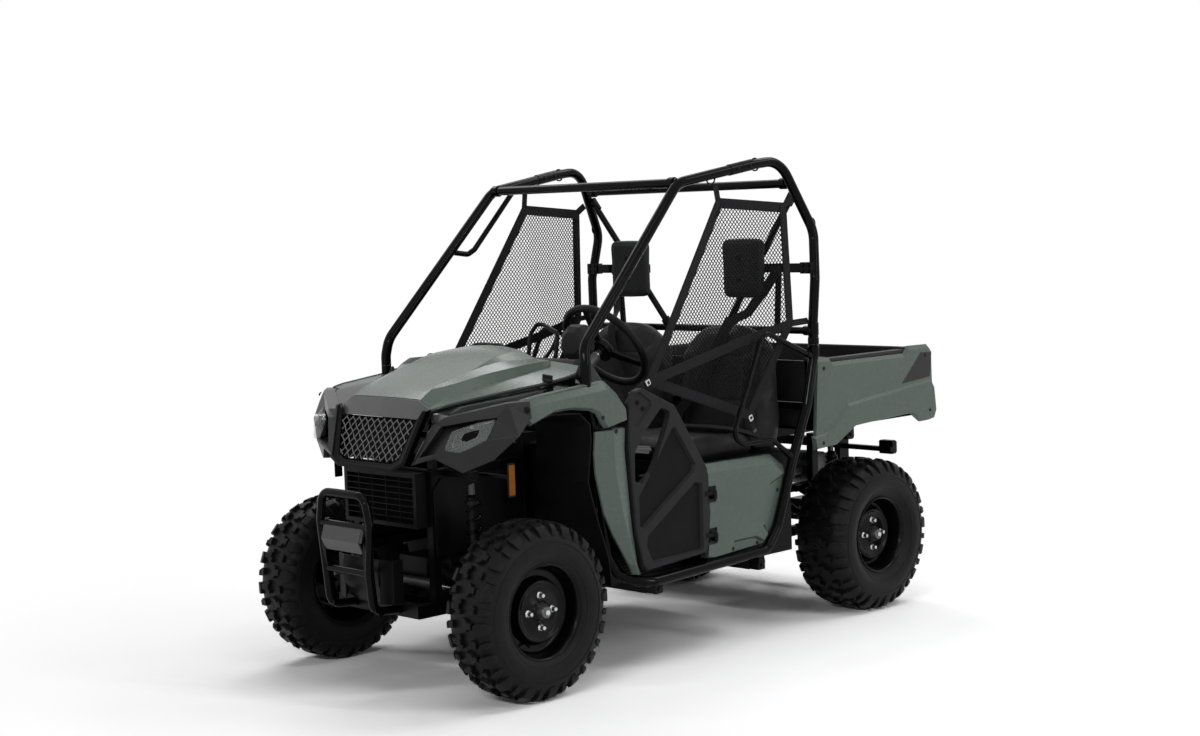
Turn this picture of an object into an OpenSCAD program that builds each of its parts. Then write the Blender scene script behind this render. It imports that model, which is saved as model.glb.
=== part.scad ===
// Side by side utility vehicle: two seats, four wheels, dump bed and tube cage.
// Z is up, the nose points to -Y and the driver sits on the +X side.
// Points are written for the standard wheelbase, width and height, from the middle
// of the wheelbase, and pt() carries them to the sizes set here.

/* [Overall] */
// Distance between the front and rear axles
wheelbase = 1854; // [1750:1:2300]
// Width over the tyres
overall_w = 1270; // [1240:1:1560]
// Height of the roll cage's top above the ground
cage_top = 1818; // [1600:1:2200]

/* [Wheels] */
// Outer diameter of every tyre
tyre_d = 610; // [560:1:640]
// Width of a front tyre
front_tyre_w = 203; // [180:1:206]
// Width of a rear tyre
rear_tyre_w = 254; // [220:1:256]
// Bead seat radius of a front rim
front_rim_r = 152; // [130:1:165]
// Bead seat radius of a rear rim
rear_rim_r = 140; // [125:1:155]
// Radius of the spindle that carries a hub
spindle_r = 17; // [13:0.5:22]
// Radius of the circle that the wheel nuts stand on
nut_circle_r = 55; // [44:1:60]

/* [Cage] */
// Radius of the main cage tube
cage_r = 19; // [15:0.5:23]
// Radius of the hip loops
loop_r = 10; // [7:0.5:12]
// Radius of the tubes between the two hoops
brace_r = 14; // [10:0.5:17]
// Radius of the brush guard's tube
guard_r = 15; // [10:0.5:18]

/* [Panels] */
// Thickness of a door
door_t = 30; // [20:1:36]
// Gap between a door and the panels round it
door_gap = 8; // [7:0.5:12]
// Thickness of the green fender and bed side panels
panel_t = 24; // [16:1:26]
// Thickness of the hood shell
hood_t = 6; // [4:0.5:9]
// Thickness of the floor, liner and skid sheets
sheet_t = 5; // [3:0.5:6]
// Wall of the seat base
base_wall = 5; // [3:0.5:8]
// Thickness of the bed floor
bed_floor_t = 12; // [8:1:20]
// Thickness of the bed's hollow side walls
bed_wall_t = 53; // [30:1:70]

/* [Pins and bores] */
// Radius of the dump bed's pivot pins
bed_pin_r = 8; // [6:0.5:12]
// Radius of the tailgate's pins
gate_pin_r = 5; // [4:0.5:7]
// Radius of a door's hinge pins
door_pin_r = 4; // [3:0.5:5]
// Radius of the kingpins
king_pin_r = 8; // [6:0.5:11]
// Radius of the steering shaft
shaft_r = 12; // [9:0.5:14]
// Radius of the steering rack
rack_r = 10; // [8:0.5:12]
// Radial clearance between a pin and its bore
pin_gap = 0.4; // [0.2:0.1:0.8]
// Gap left between pieces that seat on each other
seat_gap = 0.3; // [0.2:0.1:0.5]

/* [Hitch] */
// Inner side of the square receiver tube
receiver_in = 51; // [40:0.5:64]
// Wall of the receiver tube
receiver_wall = 6.3; // [4:0.1:9]
// Radius of the receiver's cross pin hole
hitch_pin_r = 8; // [6:0.1:9]

/* [Hidden] */
$fn = 48;

// Standard sizes that the written points belong to
std_wheelbase = 1854;
std_half_w = 635;
std_cage_top = 1818;
std_axle_z = 305;
// Stations between which the cabin stretches with the wheelbase
cabin_y0 = -600;
cabin_y1 = 535;
// Half widths between which the body widens with the overall width
core_x = 230;
flank_x = 340;
// Height above which the cage stretches
waist_z = 1210;
// From the middle of the wheelbase to the middle of the length
mid_y = -15;

stretch = wheelbase - std_wheelbase;
widen = overall_w / 2 - std_half_w;
lift = tyre_d / 2 - std_axle_z;
front_axle = -std_wheelbase / 2;
rear_axle = std_wheelbase / 2;
axle_z = std_axle_z;

function clamp01(t) = max(0, min(1, t));
function st(y) = y + mid_y + stretch * (clamp01((y - cabin_y0) / (cabin_y1 - cabin_y0)) - 0.5);
function wx(x) = x + sign(x) * widen * clamp01((abs(x) - core_x) / (flank_x - core_x));
function hz(z) = z + lift
    + max(0, z - waist_z) * (cage_top - std_cage_top) / (std_cage_top - waist_z);
function pt(p) = [wx(p[0]), st(p[1]), hz(p[2])];
function unit(v) = v / norm(v);

// A box between two written corners
module block(a, b) {
    p = pt(a);
    q = pt(b);
    translate(p) cube(q - p);
}

// A side view outline of written [y, z] points, from one half width to another
module side_plate(x0, x1, outline) {
    translate([wx(x0), 0, 0]) rotate([90, 0, 90])
        linear_extrude(wx(x1) - wx(x0))
            polygon([for (p = outline) [st(p[0]), hz(p[1])]]);
}

// A round bar along X
module cross_bar(x0, x1, y, z, r) {
    translate([wx(x0), st(y), hz(z)]) rotate([0, 90, 0]) cylinder(r = r, h = wx(x1) - wx(x0));
}

// A round bar between two written points
module rod(a, b, r) {
    p = pt(a);
    v = pt(b) - p;
    translate(p)
        rotate([0, acos(v[2] / norm(v)), atan2(v[1], v[0])])
            cylinder(r = r, h = norm(v));
}

// Both sides of the vehicle
module both() {
    children();
    mirror([1, 0, 0]) children();
}

// An outline swept round the X axis at a wheel's centre; points are [radius, x]
module wheel_ring(y, outline) {
    translate([0, st(y), hz(axle_z)]) rotate([0, 90, 0])
        rotate_extrude($fn = 96) polygon([for (p = outline) [p[0], wx(p[1])]]);
}

// Arc of n + 1 points that rounds the corner b between a and c
function corner(a, b, c, r, n) =
    let (u = unit(a - b), v = unit(c - b), half = acos(max(-1, min(1, u * v))) / 2)
    half > 88 ? [b] :
    let (
        t = min(r / tan(half), norm(a - b) * 0.48, norm(c - b) * 0.48),
        rr = t * tan(half),
        m = b + unit(u + v) * rr / sin(half),
        p = b + u * t - m,
        q = b + v * t - m,
        w = acos(max(-1, min(1, p * q / (rr * rr))))
    )
    [for (i = [0:n]) m + (p * sin(w * (1 - i / n)) + q * sin(w * i / n)) / sin(w)];

// A path of written points with its corners rounded to radius r
function bent(pts, r, n = 5) =
    let (m = [for (p = pts) pt(p)], last = len(m) - 1)
    [for (i = [0:last]) each (i == 0 || i == last) ? [m[i]] : corner(m[i - 1], m[i], m[i + 1], r, n)];

// Sideways direction at each point of a path, carried along without twist
function tangent(p, i) = unit(p[min(i + 1, len(p) - 1)] - p[max(i - 1, 0)]);
function carried(p, i, s) = let (t = tangent(p, i)) unit(s - t * (s * t));
function sides_of(p, s0) = [for (i = 0, s = carried(p, 0, s0); i < len(p);
    i = i + 1, s = i < len(p) ? carried(p, i, s) : s) s];

// A closed section of [u, v] points swept along a path; u runs along side0 at its start
module sweep(path, section, side0) {
    n = len(section);
    rings = len(path);
    u = sides_of(path, side0);
    points = [for (i = [0:rings - 1]) let (t = tangent(path, i), w = cross(t, u[i]))
        each [for (q = section) path[i] + u[i] * q[0] + w * q[1]]];
    walls = [for (i = [0:rings - 2], k = [0:n - 1]) let (a = i * n + k, b = i * n + (k + 1) % n)
        each [[a, b + n, b], [a, a + n, b + n]]];
    cap0 = [for (k = [0:n - 1]) k];
    cap1 = [for (k = [n - 1:-1:0]) (rings - 1) * n + k];
    polyhedron(points, concat(walls, [cap0, cap1]));
}

// A round tube along a path
module tube(path, r, n = 12, side0 = [1, 0, 0]) {
    sweep(path, [for (k = [0:n - 1]) r * [cos(360 * k / n), sin(360 * k / n)]], side0);
}

// A flat strap along a path
module strap(path, w, t, side0) {
    sweep(path, [[-w / 2, -t / 2], [w / 2, -t / 2], [w / 2, t / 2], [-w / 2, t / 2]], side0);
}

// A flat sheet outline of even thickness t behind a line of [y, z] points
function sheet(line, t) =
    let (n = len(line),
        off = [for (i = [0:n - 1])
            let (a = unit(line[min(i + 1, n - 1)] - line[i == 0 ? 0 : i - 1]),
                k = (i == 0 || i == n - 1) ? 1 :
                    1 / cos(0.5 * acos(max(-1, min(1,
                        unit(line[i + 1] - line[i]) * unit(line[i] - line[i - 1]))))))
            line[i] + [-a[1], a[0]] * t * k])
    concat(line, [for (i = [n - 1:-1:0]) off[i]]);

/* ---- Frame ---- */

rail_x0 = 190;
rail_x1 = 220;
rail_z0 = 272;
rail_z1 = 312;
front_y = -1150;
tail_y = 1230;
bulkhead_y = -640;
rack_y = -1010;
rack_z = 355;
bed_pivot = [1200, 660];
bed_rail_x0 = 226;
bed_rail_x1 = 256;
bed_rest_z = 700;
outrigger_y = [-380, 180];
outrigger_x = 555;
seat_beam = [491, 864];

module main_frame() color([0.05, 0.05, 0.055]) {
    cross_w = rail_x0 + 1;
    both() {
        block([rail_x0, front_y, rail_z0], [rail_x1, tail_y, rail_z1]);
        for (y = outrigger_y)
            block([rail_x1 - 1, y, rail_z0], [outrigger_x, y + 40, rail_z1]);
        // Front uprights, upper rail and shock towers
        block([rail_x0, -1070, rail_z1 - 1], [rail_x1, -1040, 770]);
        block([rail_x0, bulkhead_y, rail_z1 - 1], [rail_x1, bulkhead_y + 30, 850]);
        block([rail_x0, -1041, 740], [rail_x1, bulkhead_y + 1, 770]);
        block([rail_x0, -1041, 455], [rail_x1, bulkhead_y + 1, 485]);
        block([rail_x0, bulkhead_y + 29, 820], [rail_x1, -540, 850]);
        block([rail_x1 - 1, -1010, 745], [345, -960, 765]);
        block([rail_x1 - 1, -945, 745], [478, -925, 755]);
        block([rail_x0, -1060, 769], [rail_x1, -1040, 900]);
        // Posts for the seat beam, the bed's rest and its pivot
        block([rail_x0, 476, rail_z1 - 1], [rail_x1, 506, seat_beam[1] - 16 - seat_gap]);
        block([rail_x0, 560, rail_z1 - 1], [rail_x1, 600, bed_rest_z - seat_gap]);
        block([rail_x1 - 1, 560, 670], [bed_rail_x1, 600, bed_rest_z - seat_gap]);
        block([rail_x0, 599, 455], [rail_x1, tail_y - 50, 485]);
        block([rail_x0, tail_y - 60, rail_z1 - 1], [rail_x1, tail_y, bed_pivot[1] + 24]);
        cross_bar(rail_x1 - 1, bed_rail_x1 + 6, bed_pivot[0], bed_pivot[1], bed_pin_r);
        block([rail_x1 - 1, 985, 665], [330, 1020, 685]);
        block([rail_x0, 985, 484], [rail_x1, 1020, 685]);
        block([rail_x1 - 1, tail_y - 40, 600], [470, tail_y - 20, 620]);
    }
    for (y = [front_y, rack_y - 20, -700, outrigger_y[0], outrigger_y[1], 540, tail_y - 40])
        block([-cross_w, y, rail_z0], [cross_w, y + 40, rail_z1]);
    block([-cross_w, -1070, 740], [cross_w, -1040, 770]);
    block([-cross_w, bulkhead_y, 820], [cross_w, bulkhead_y + 30, 850]);
    block([-300, -1060, 880], [300, -1040, 900]);
    block([-cross_w, tail_y - 40, 600], [cross_w, tail_y, 640]);
    block([-40, rack_y - 12, rail_z1 - 1], [40, rack_y + 12, rack_z - rack_shell_r - seat_gap]);
}

// Tube that runs from the front pillar's foot, along the sill and up to the hoop
front_foot = [547, -636, 1073];
hoop_foot = [600, 541, 1098];
sill_pts = [front_foot, [547, -636, 1030], [540, -600, 900], [532, -545, 430], [532, -490, 352],
    [585, -425, 324], [600, -380, 321], [600, 234, 343], [600, 300, 422], [600, 401, 673],
    [600, seat_beam[0], seat_beam[1]], [600, 541, 1060], hoop_foot];

module sill_rails() color([0.02, 0.02, 0.02]) {
    both() {
        tube(bent(sill_pts, 60), cage_r);
        tube(bent([[600, 536, 1050], [600, 247, 1168], [600, 61, 791], [600, 119, 755],
            [600, 286, 754], [600, 401, 673]], 45), loop_r, 10);
        for (y = outrigger_y) {
            block([outrigger_x + seat_gap, y, rail_z0], [602, y + 40, rail_z1]);
            block([578, y, rail_z1 - 1], [602, y + 40, rail_z1 + 12]);
        }
        block([535, -590, 790], [panel_in_x - seat_gap, -560, 815]);
    }
    cross_bar(-600, 600, seat_beam[0], seat_beam[1], 16);
}

hoop_pts = [[547, -636, 1073 + 2 * seat_gap], [547, -636, 1110], [537, -627, 1172],
    [503, -96, 1727], [533, 283, 1790], [545, 430, 1806], [586, 574, 1531], [609, 548, 1350],
    [600, 541, 1180], [600, 541, 1098 + 2 * seat_gap]];
roof_front = [503, -96, 1727];
roof_rear = [545, 484, 1717];
pad_bar_z = 1392;

module roll_cage() color([0.02, 0.02, 0.02]) {
    both() {
        tube(bent(hoop_pts, 110), cage_r);
        rod([545, 505, 1675], [150, 541, 1150], brace_r - 1);
        rod([428, 537, pad_bar_z], [421, 541, 1150], 8);
        block([270, 504 + 2 * seat_gap, 1375], [345, 534, 1409]);
    }
    rod([-503, -96, 1727], roof_front, cage_r - 2);
    rod([-roof_rear[0], roof_rear[1], roof_rear[2]], roof_rear, cage_r - 2);
    cross_bar(-600, 600, 541, 1150, brace_r);
    block([-600, 532, pad_bar_z - 15], [600, 542, pad_bar_z + 15]);
    tube(bent([[-518, -318, 1494], [-508, -236, 1482], [-508, -200, 1500], [-512, 25, 1730]], 30),
        11, 10);
}

/* ---- Cabin ---- */

base_x = 558;
base_z1 = 690;
floor_z = rail_z1 + seat_gap;

module seat_base() color([0.07, 0.07, 0.075]) {
    difference() {
        block([-base_x, -55, floor_z], [base_x, 432, base_z1]);
        block([-base_x + base_wall, -55 + base_wall, floor_z - 1],
            [base_x - base_wall, 432 - base_wall, base_z1 - base_wall]);
    }
}

module seat_cushions() color([0.06, 0.06, 0.06])
    both() block([12, -62, base_z1 + seat_gap], [495, 310, 775]);

seat_face = [[318, 700], [372, 1150]];
module seat_backs() color([0.06, 0.06, 0.06])
    both() side_plate(45, 505, [[318, base_z1 + 8], seat_face[1], [400, 1190], [440, 1192],
        [466, 1160], [seat_beam[0] - 16 - seat_gap, 900], [seat_beam[0] - 16 - seat_gap, 820],
        [434, base_z1 + 8]]);

module head_restraints() color([0.05, 0.05, 0.05])
    both() block([205, 452, 1278], [410, 504, 1502]);

hinge_x = 606;
hinge_y = -56;
hinge_z = [436, 590];

module hip_panels() color([0.30, 0.37, 0.32]) {
    difference() {
        both() side_plate(base_x + seat_gap, 598, [[-60, 662], [358, 648], [268, 424], [214, 380],
            [-41, 362]]);
        both() for (z = hinge_z)
            block([590, hinge_y - 20, z - 26], [600, hinge_y + 12, z + 26]);
    }
    both() for (z = hinge_z) {
        translate(pt([hinge_x, hinge_y, z - 16])) cylinder(r = 9, h = 16);
        translate(pt([hinge_x, hinge_y, z - 1])) cylinder(r = door_pin_r, h = 17);
        block([589, hinge_y - 4, z - 16], [hinge_x, hinge_y + 13, z]);
    }
}

// Front edge of the door opening, on the fender, from top to bottom
door_edge = [[-490, 972], [-486, 899], [-461, 560], [-446, 374]];
door_x0 = 600 - door_t;

module door() color([0.08, 0.08, 0.085]) {
    difference() {
        side_plate(door_x0, 600, [[-408, 1006], [-247, 930], [-92, 694], [-96, 362], [-399, 362],
            [door_edge[3][0] + door_gap, 420], [door_edge[2][0] + door_gap, 560],
            [door_edge[1][0] + door_gap, 895], [door_edge[0][0] + door_gap + 3, 955]]);
        side_plate(door_x0 - 1, 584, [[-400, 960], [-262, 896], [-140, 700], [-140, 410],
            [-390, 410], [-420, 560], [-440, 895], [-440, 930]]);
    }
    for (z = hinge_z) difference() {
        union() {
            translate(pt([hinge_x, hinge_y, z + 2 * seat_gap])) cylinder(r = 9, h = 14);
            block([598, -100, z + 2 * seat_gap], [hinge_x, hinge_y - 2, z + 14 + 2 * seat_gap]);
        }
        translate(pt([hinge_x, hinge_y, z - 2])) cylinder(r = door_pin_r + pin_gap, h = 40);
    }
}

panel_in_x = 600 - panel_t;
// Half width and station of the front fenders' outer face where their flare starts and ends
flare = [[562, -940], [600, -600]];

// Plan of the space inside the fenders' outer face, gap in from it
module fender_plan(gap) {
    ends = [[wx(200), st(-1040)], [wx(200), st(-380)]];
    slope = (flare[1][0] - flare[0][0]) / (flare[1][1] - flare[0][1]);
    translate([0, 0, hz(250)]) linear_extrude(900)
        polygon([ends[0], [wx(flare[0][0] - 100 * slope) - gap, st(flare[0][1] - 100)],
            [wx(flare[1][0]) - gap, st(flare[1][1])], [wx(flare[1][0]) - gap, st(-380)], ends[1]]);
}

// Top of the post that each hood knob screws into
knob = [424, -704, 1060];

module front_fenders() color([0.30, 0.37, 0.32]) both() {
    difference() {
        intersection() {
            side_plate(500, 601, concat([[-894, 1021], [-562, 1044]], door_edge,
                [[-454, 374], [-576, 541], [-600, 880], [-632, 960], [-810, 968], [-894, 932]]));
            fender_plan(0);
        }
        fender_plan(panel_t);
    }
    difference() {
        intersection() {
            side_plate(484, 600, [[-894, 1000], [-572, 1033], [-572, 1025], [-894, 992]]);
            fender_plan(panel_t - 1);
        }
        block([front_foot[0] - cage_r - 8, -690, 900], [front_foot[0] + cage_r + 8, -560, 1100]);
    }
    // Seats for the hood's quarter-turn knobs
    block([knob[0] - 12, knob[1] - 12, 1008], [485, knob[1] + 12, 1018]);
    translate(pt([knob[0], knob[1], 1017])) cylinder(r = 8, h = knob[2] - 1017);
}

liner_line = [[-890, 936], [-800, 950], [-690, 944], [-648, 905], [-645, 850], [-664, 705],
    [-625, 560], [-582, 430], [-570, 330]];
module arch_liners() color([0.06, 0.06, 0.065])
    both() intersection() {
        side_plate(300, 600, sheet(liner_line, sheet_t));
        fender_plan(panel_t + seat_gap);
    }

module floor_pan() color([0.07, 0.07, 0.075]) {
    block([-575, -335, floor_z], [575, -56, floor_z + sheet_t]);
    side_plate(-505, 505, sheet([[-600, 812], [-600, 560], [-540, floor_z], [-334, floor_z]],
        sheet_t));
}

col_centre = [310, -300, 1146];
col_tilt = 35;
col_shell_r = shaft_r + 12;

// Places children with Z along the steering shaft, towards the driver
module on_column() translate(pt(col_centre)) rotate([col_tilt - 90, 0, 0]) children();

module dashboard() color([0.06, 0.06, 0.065]) {
    difference() {
        union() {
            side_plate(-505, 505, [[-564, 850 + seat_gap], [-564, 1092], [-540, 1118], [-470, 1112],
                [-432, 1060], [-440, 960], [-470, 850 + seat_gap]]);
            side_plate(215, 405, [[-545, 1100], [-520, 1152], [-440, 1188], [-425, 1160],
                [-436, 1050], [-500, 1050]]);
        }
        on_column() translate([0, 0, -400]) cylinder(r = col_shell_r + seat_gap, h = 400);
    }
    tube(bent([[-130, -450, 1040], [-130, -290, 1110], [-130, -255, 1163], [-250, -250, 1196],
        [-330, -280, 1150], [-330, -330, 1100], [-330, -440, 1040]], 30), 11, 10);
}

rack_shell_r = rack_r + 10;
module steering_column() color([0.05, 0.05, 0.05]) {
    on_column() difference() {
        translate([0, 0, -230]) cylinder(r = col_shell_r, h = 165);
        translate([0, 0, -215]) cylinder(r = shaft_r + 5, h = 120);
        translate([0, 0, -215]) cylinder(r = shaft_r + pin_gap, h = 300);
    }
    difference() {
        cross_bar(-150, 150, rack_y, rack_z, rack_shell_r);
        cross_bar(-151, 151, rack_y, rack_z, rack_r + pin_gap);
    }
}

wheel_r = 172;
module steering_wheel() color([0.04, 0.04, 0.04]) on_column() {
    rotate_extrude($fn = 72) translate([wheel_r, 0]) circle(r = 14);
    translate([0, 0, -38]) cylinder(r = 46, h = 30);
    translate([0, 0, -200]) cylinder(r = shaft_r, h = 164);
    for (a = [90, 210, 330]) rotate([0, 0, a]) hull() {
        translate([30, -17, -24]) cube([10, 34, 12]);
        translate([wheel_r - 6, -13, -6]) cube([6, 26, 10]);
    }
}

net_corners = [[528, 94, 1658], [564, 429, 1633], [579, 435, 1185], [552, 212, 845],
    [550, -333, 1023]];
net_t = 4;
module side_nets() color([0.03, 0.03, 0.03]) both() {
    m = [for (c = net_corners) pt(c)];
    n = len(m);
    polyhedron(concat([for (p = m) p + [net_t / 2, 0, 0]], [for (p = m) p - [net_t / 2, 0, 0]]),
        concat([[0, 2, 1], [0, 3, 2], [0, 4, 3], [5, 6, 7], [5, 7, 8], [5, 8, 9]],
            [for (k = [0:n - 1]) each [[k, (k + 1) % n, (k + 1) % n + n],
                [k, (k + 1) % n + n, k + n]]]));
    strap([pt([527, 96, 1655]), pt([519, 94, 1758]) - [0, 0, cage_r + 4 * seat_gap]], 24, 3,
        [0, 1, 0]);
}

module seat_belts() color([0.03, 0.03, 0.03]) both() {
    strap([pt([568, 512, 1184]), pt([505, 425, 1226]), pt([462, 335, 1140]), pt([290, 306, 960]),
        pt([80, 290, 796])], 46, 3, [-1, 0, 1]);
    block([60, 274, 775 + 2 * seat_gap], [100, 288, 800]);
}

/* ---- Front end ---- */

module nose_panel() color([0.05, 0.05, 0.055]) {
    side_plate(-186, 186, [[-1104, 950], [-1096, 1012], [-1086, 1012], [-1086, 950]]);
    both() block([120, -1087, 955], [150, -1060 - seat_gap, 975]);
    both() block([120, -1060 - seat_gap, 955], [150, -1050, 901 + 64]);
    both() block([120, -1058, 900 + seat_gap], [150, -1050, 956]);
}

grille_tilt = 17;
module grille() color([0.03, 0.03, 0.03]) {
    difference() {
        translate(pt([0, -1100, 946])) rotate([90 - grille_tilt, 0, 0])
            linear_extrude(16) polygon([[-186, 0], [186, 0], [180, -80], [128, -178], [-128, -178],
                [-180, -80]]);
        translate(pt([0, -1100, 946])) rotate([90 - grille_tilt, 0, 0])
            translate([0, 0, 6]) linear_extrude(20)
                polygon([[-168, -16], [168, -16], [164, -76], [120, -160], [-120, -160],
                    [-164, -76]]);
    }
    both() block([120, -1122, 880], [150, -1060 - seat_gap, 900]);
}

bezel_front = [[206, -1152, 806], [236, -1166, 802], [206, -1104, 950], [248, -1088, 972],
    [355, -1080, 770], [510, -1012, 820], [556, -975, 878], [580, -935, 952], [566, -912, 1004],
    [480, -930, 1000]];
bezel_rear = [[206, -1062, 812], [206, -1062, 945], [330, -1000, 968], [540, -898, 988],
    [540, -898, 950], [470, -960, 830]];
lamp_pts = [[262, -1150, 862], [280, -1118, 930], [450, -1018, 956], [486, -1000, 922],
    [430, -1062, 842], [300, -1148, 830]];

module facet_body(points) hull() polyhedron([for (p = points) pt(p)],
    [for (k = [1:len(points) - 2]) [0, k, k + 1]]);

function moved(points, v) = [for (p = points) p + v];

function mean_of(points) = [for (k = [0:2]) [for (p = points) 1] * [for (p = points) p[k]]]
    / len(points);

function shrunk(points, f) = let (c = mean_of(points)) [for (p = points) c + (p - c) * f];

module headlight_bezels() color([0.06, 0.06, 0.065]) both() {
    difference() {
        facet_body(concat(bezel_front, bezel_rear));
        facet_body(concat(moved(lamp_pts, [-6, -60, 4]), moved(lamp_pts, [-22, 36, 0])));
        block([204, -1062, 790], [310, -1030, 990]);
    }
    block([212, -1100, 880], [234, -1060 - seat_gap, 900]);
}

module headlamps() color([0.8, 0.82, 0.85]) both()
    facet_body(concat(moved(shrunk(lamp_pts, 0.95), [-11, -12, 2]),
        moved(shrunk(lamp_pts, 0.985), [-22, 36 - seat_gap, 0])));

module brush_guard() color([0.02, 0.02, 0.02]) {
    half = [[119, front_y - 5 * seat_gap, 292], [119, -1262, 300], [119, -1274, 431],
        [138, -1277, 596], [118, -1280, 714 - guard_r]];
    mirrored = [for (i = [len(half) - 1:-1:0]) [-half[i][0], half[i][1], half[i][2]]];
    tube(bent(concat(half, mirrored), 45), guard_r);
    side_plate(-108, 108, [[-1286, 584], [-1304, 539], [-1297, 536], [-1279, 581]]);
    cross_bar(-130, 130, -1277, 590, guard_r - 3);
    cross_bar(-119, 119, -1272, 431, guard_r - 3);
}

module radiator() color([0.04, 0.04, 0.04])
    block([-198, -1125, 572], [198, -1070 - seat_gap, 762]);

module skid_plate() color([0.06, 0.06, 0.06])
    block([-rail_x1, front_y + 4, rail_z0 - seat_gap - sheet_t],
        [rail_x1, bulkhead_y, rail_z0 - seat_gap]);

// Cross sections of the hood: station, then [x, z] from the middle outwards
hood_rows = [
    [-1080, [[0, 1028], [100, 1027], [184, 1021], [214, 1001], [226, 986], [236, 978]]],
    [-900, [[0, 1090], [100, 1089], [214, 1084], [270, 1056], [318, 1036], [346, 1020]]],
    [-720, [[0, 1150], [100, 1146], [246, 1142], [316, 1108], [400, 1076], [452, 1058]]],
    [-585, [[0, 1162], [100, 1157], [262, 1154], [345, 1118], [430, 1092], [474, 1066]]]];

module hood() color([0.30, 0.37, 0.32]) {
    rows = [for (r = hood_rows) concat([for (i = [len(r[1]) - 1:-1:1]) [-r[1][i][0], r[0], r[1][i][1]]],
        [for (q = r[1]) [q[0], r[0], q[1]]])];
    n = len(rows[0]);
    m = len(rows);
    upper = [for (r = rows) each [for (p = r) pt(p)]];
    lower = [for (p = upper) p - [0, 0, hood_t]];
    k = n * m;
    quads = [for (i = [0:m - 2], j = [0:n - 2]) let (a = i * n + j) [a, a + 1, a + n + 1, a + n]];
    edge = concat([for (j = [0:n - 1]) j], [for (i = [1:m - 1]) i * n + n - 1],
        [for (j = [n - 2:-1:0]) (m - 1) * n + j], [for (i = [m - 2:-1:1]) i * n]);
    e = len(edge);
    polyhedron(concat(upper, lower), concat(
        [for (q = quads) each [[q[2], q[1], q[0]], [q[3], q[2], q[0]]]],
        [for (q = quads) each [[q[0] + k, q[1] + k, q[2] + k], [q[0] + k, q[2] + k, q[3] + k]]],
        [for (i = [0:e - 1]) let (a = edge[i], b = edge[(i + 1) % e])
            each [[a, b, b + k], [a, b + k, a + k]]]));
}

/* ---- Running gear ---- */

king_x = 450;
king_y = front_axle;
steer_arm = [-20, -83];

module engine() color([0.25, 0.25, 0.26])
    block([-175, 525, rail_z1 + seat_gap], [175, 858, 688]);

module exhaust() color([0.2, 0.2, 0.2]) {
    cross_bar(-175, 175, 1110, 520, 72);
    rod([100, 1060, 520], [100, 858 + seat_gap, 520], 22);
}

module final_drives() color([0.15, 0.15, 0.155]) {
    block([-85, 858 + seat_gap, 330], [85, 990, 460]);
    block([-75, -985, 330], [75, -870, 440]);
    block([-30, -871, 345], [30, -700, 380]);
    block([-30, -705, rail_z1 + seat_gap], [30, -675, 380]);
    both() {
        rod([84, rear_axle, 385], [380, rear_axle, 314], 14);
        rod([340, rear_axle, 323], [388, rear_axle, 312], 30);
        rod([74, front_axle, 385], [380, front_axle, 314], 14);
        rod([352, front_axle, 321], [396, front_axle, 311], 28);
    }
}

module suspension_arms() color([0.04, 0.04, 0.04]) both() {
    pivot_x = rail_x1 + 14 + seat_gap;
    // Front lower and upper arms with the kingpins they carry
    for (leg = [[-1010, 292, 225], [-850, 292, 225], [-915, 470, 404], [-835, 470, 404]]) {
        rod([pivot_x, leg[0], leg[1]], [king_x - 8, king_y, leg[2]], 11);
        rod([pivot_x, leg[0] - 16, leg[1]], [pivot_x, leg[0] + 16, leg[1]], 14);
    }
    rod([king_x, king_y, 211], [king_x, king_y, 236], 18);
    rod([king_x, king_y, 235], [king_x, king_y, 258], king_pin_r);
    rod([king_x, king_y, 393], [king_x, king_y, 420], 18);
    rod([king_x, king_y, 366], [king_x, king_y, 394], king_pin_r);
    // Rear arms and the bearing carrier
    for (leg = [[1004, 292, 250], [850, 292, 250], [952, 470, 366], [870, 470, 366]]) {
        rod([pivot_x, leg[0], leg[1]], [412, rear_axle, leg[2]], 11);
        rod([pivot_x, leg[0] - 16, leg[1]], [pivot_x, leg[0] + 16, leg[1]], 14);
    }
    block([400, rear_axle - 24, 236], [430, rear_axle + 24, 380]);
    // Brackets under the shocks
    block([340, -996, 250], [364, -955, 271]);
    block([333, 955, 256], [357, 997, 273]);
    cross_bar(429, 565, rear_axle, axle_z, spindle_r);
}

module shock(low, high, r) {
    p = pt(low);
    q = pt(high);
    f = (q - p) * 0.32;
    v = q - p;
    turn = [0, acos(v[2] / norm(v)), atan2(v[1], v[0])];
    translate(p) rotate(turn) cylinder(r = 11, h = norm(v) * 0.4);
    translate(p + f) rotate(turn) cylinder(r = r, h = norm(v) * 0.62);
    translate(q) rotate(turn) translate([0, 0, -norm(v) * 0.07]) cylinder(r = 12, h = norm(v) * 0.07);
}

module shocks() color([0.03, 0.03, 0.03]) both() {
    shock([352, -984, 272], [330, -985, 744], 28);
    shock([345, 985, 275], [300, 1002, 663], 27);
}

module knuckle() color([0.12, 0.12, 0.12]) {
    difference() {
        union() {
            block([436, king_y - 20, 242], [464, king_y + 20, 386]);
            cross_bar(463, 594, king_y, axle_z, spindle_r);
            block([king_x + steer_arm[0] - 8, king_y + steer_arm[1], 330],
                [king_x + steer_arm[0] + 10, king_y - 19, 342]);
            translate(pt([king_x + steer_arm[0], king_y + steer_arm[1], 330]))
                cylinder(r = 14, h = 12);
        }
        translate(pt([king_x, king_y, 240])) cylinder(r = king_pin_r + pin_gap, h = 24);
        translate(pt([king_x, king_y, 360])) cylinder(r = king_pin_r + pin_gap, h = 30);
    }
}

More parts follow.
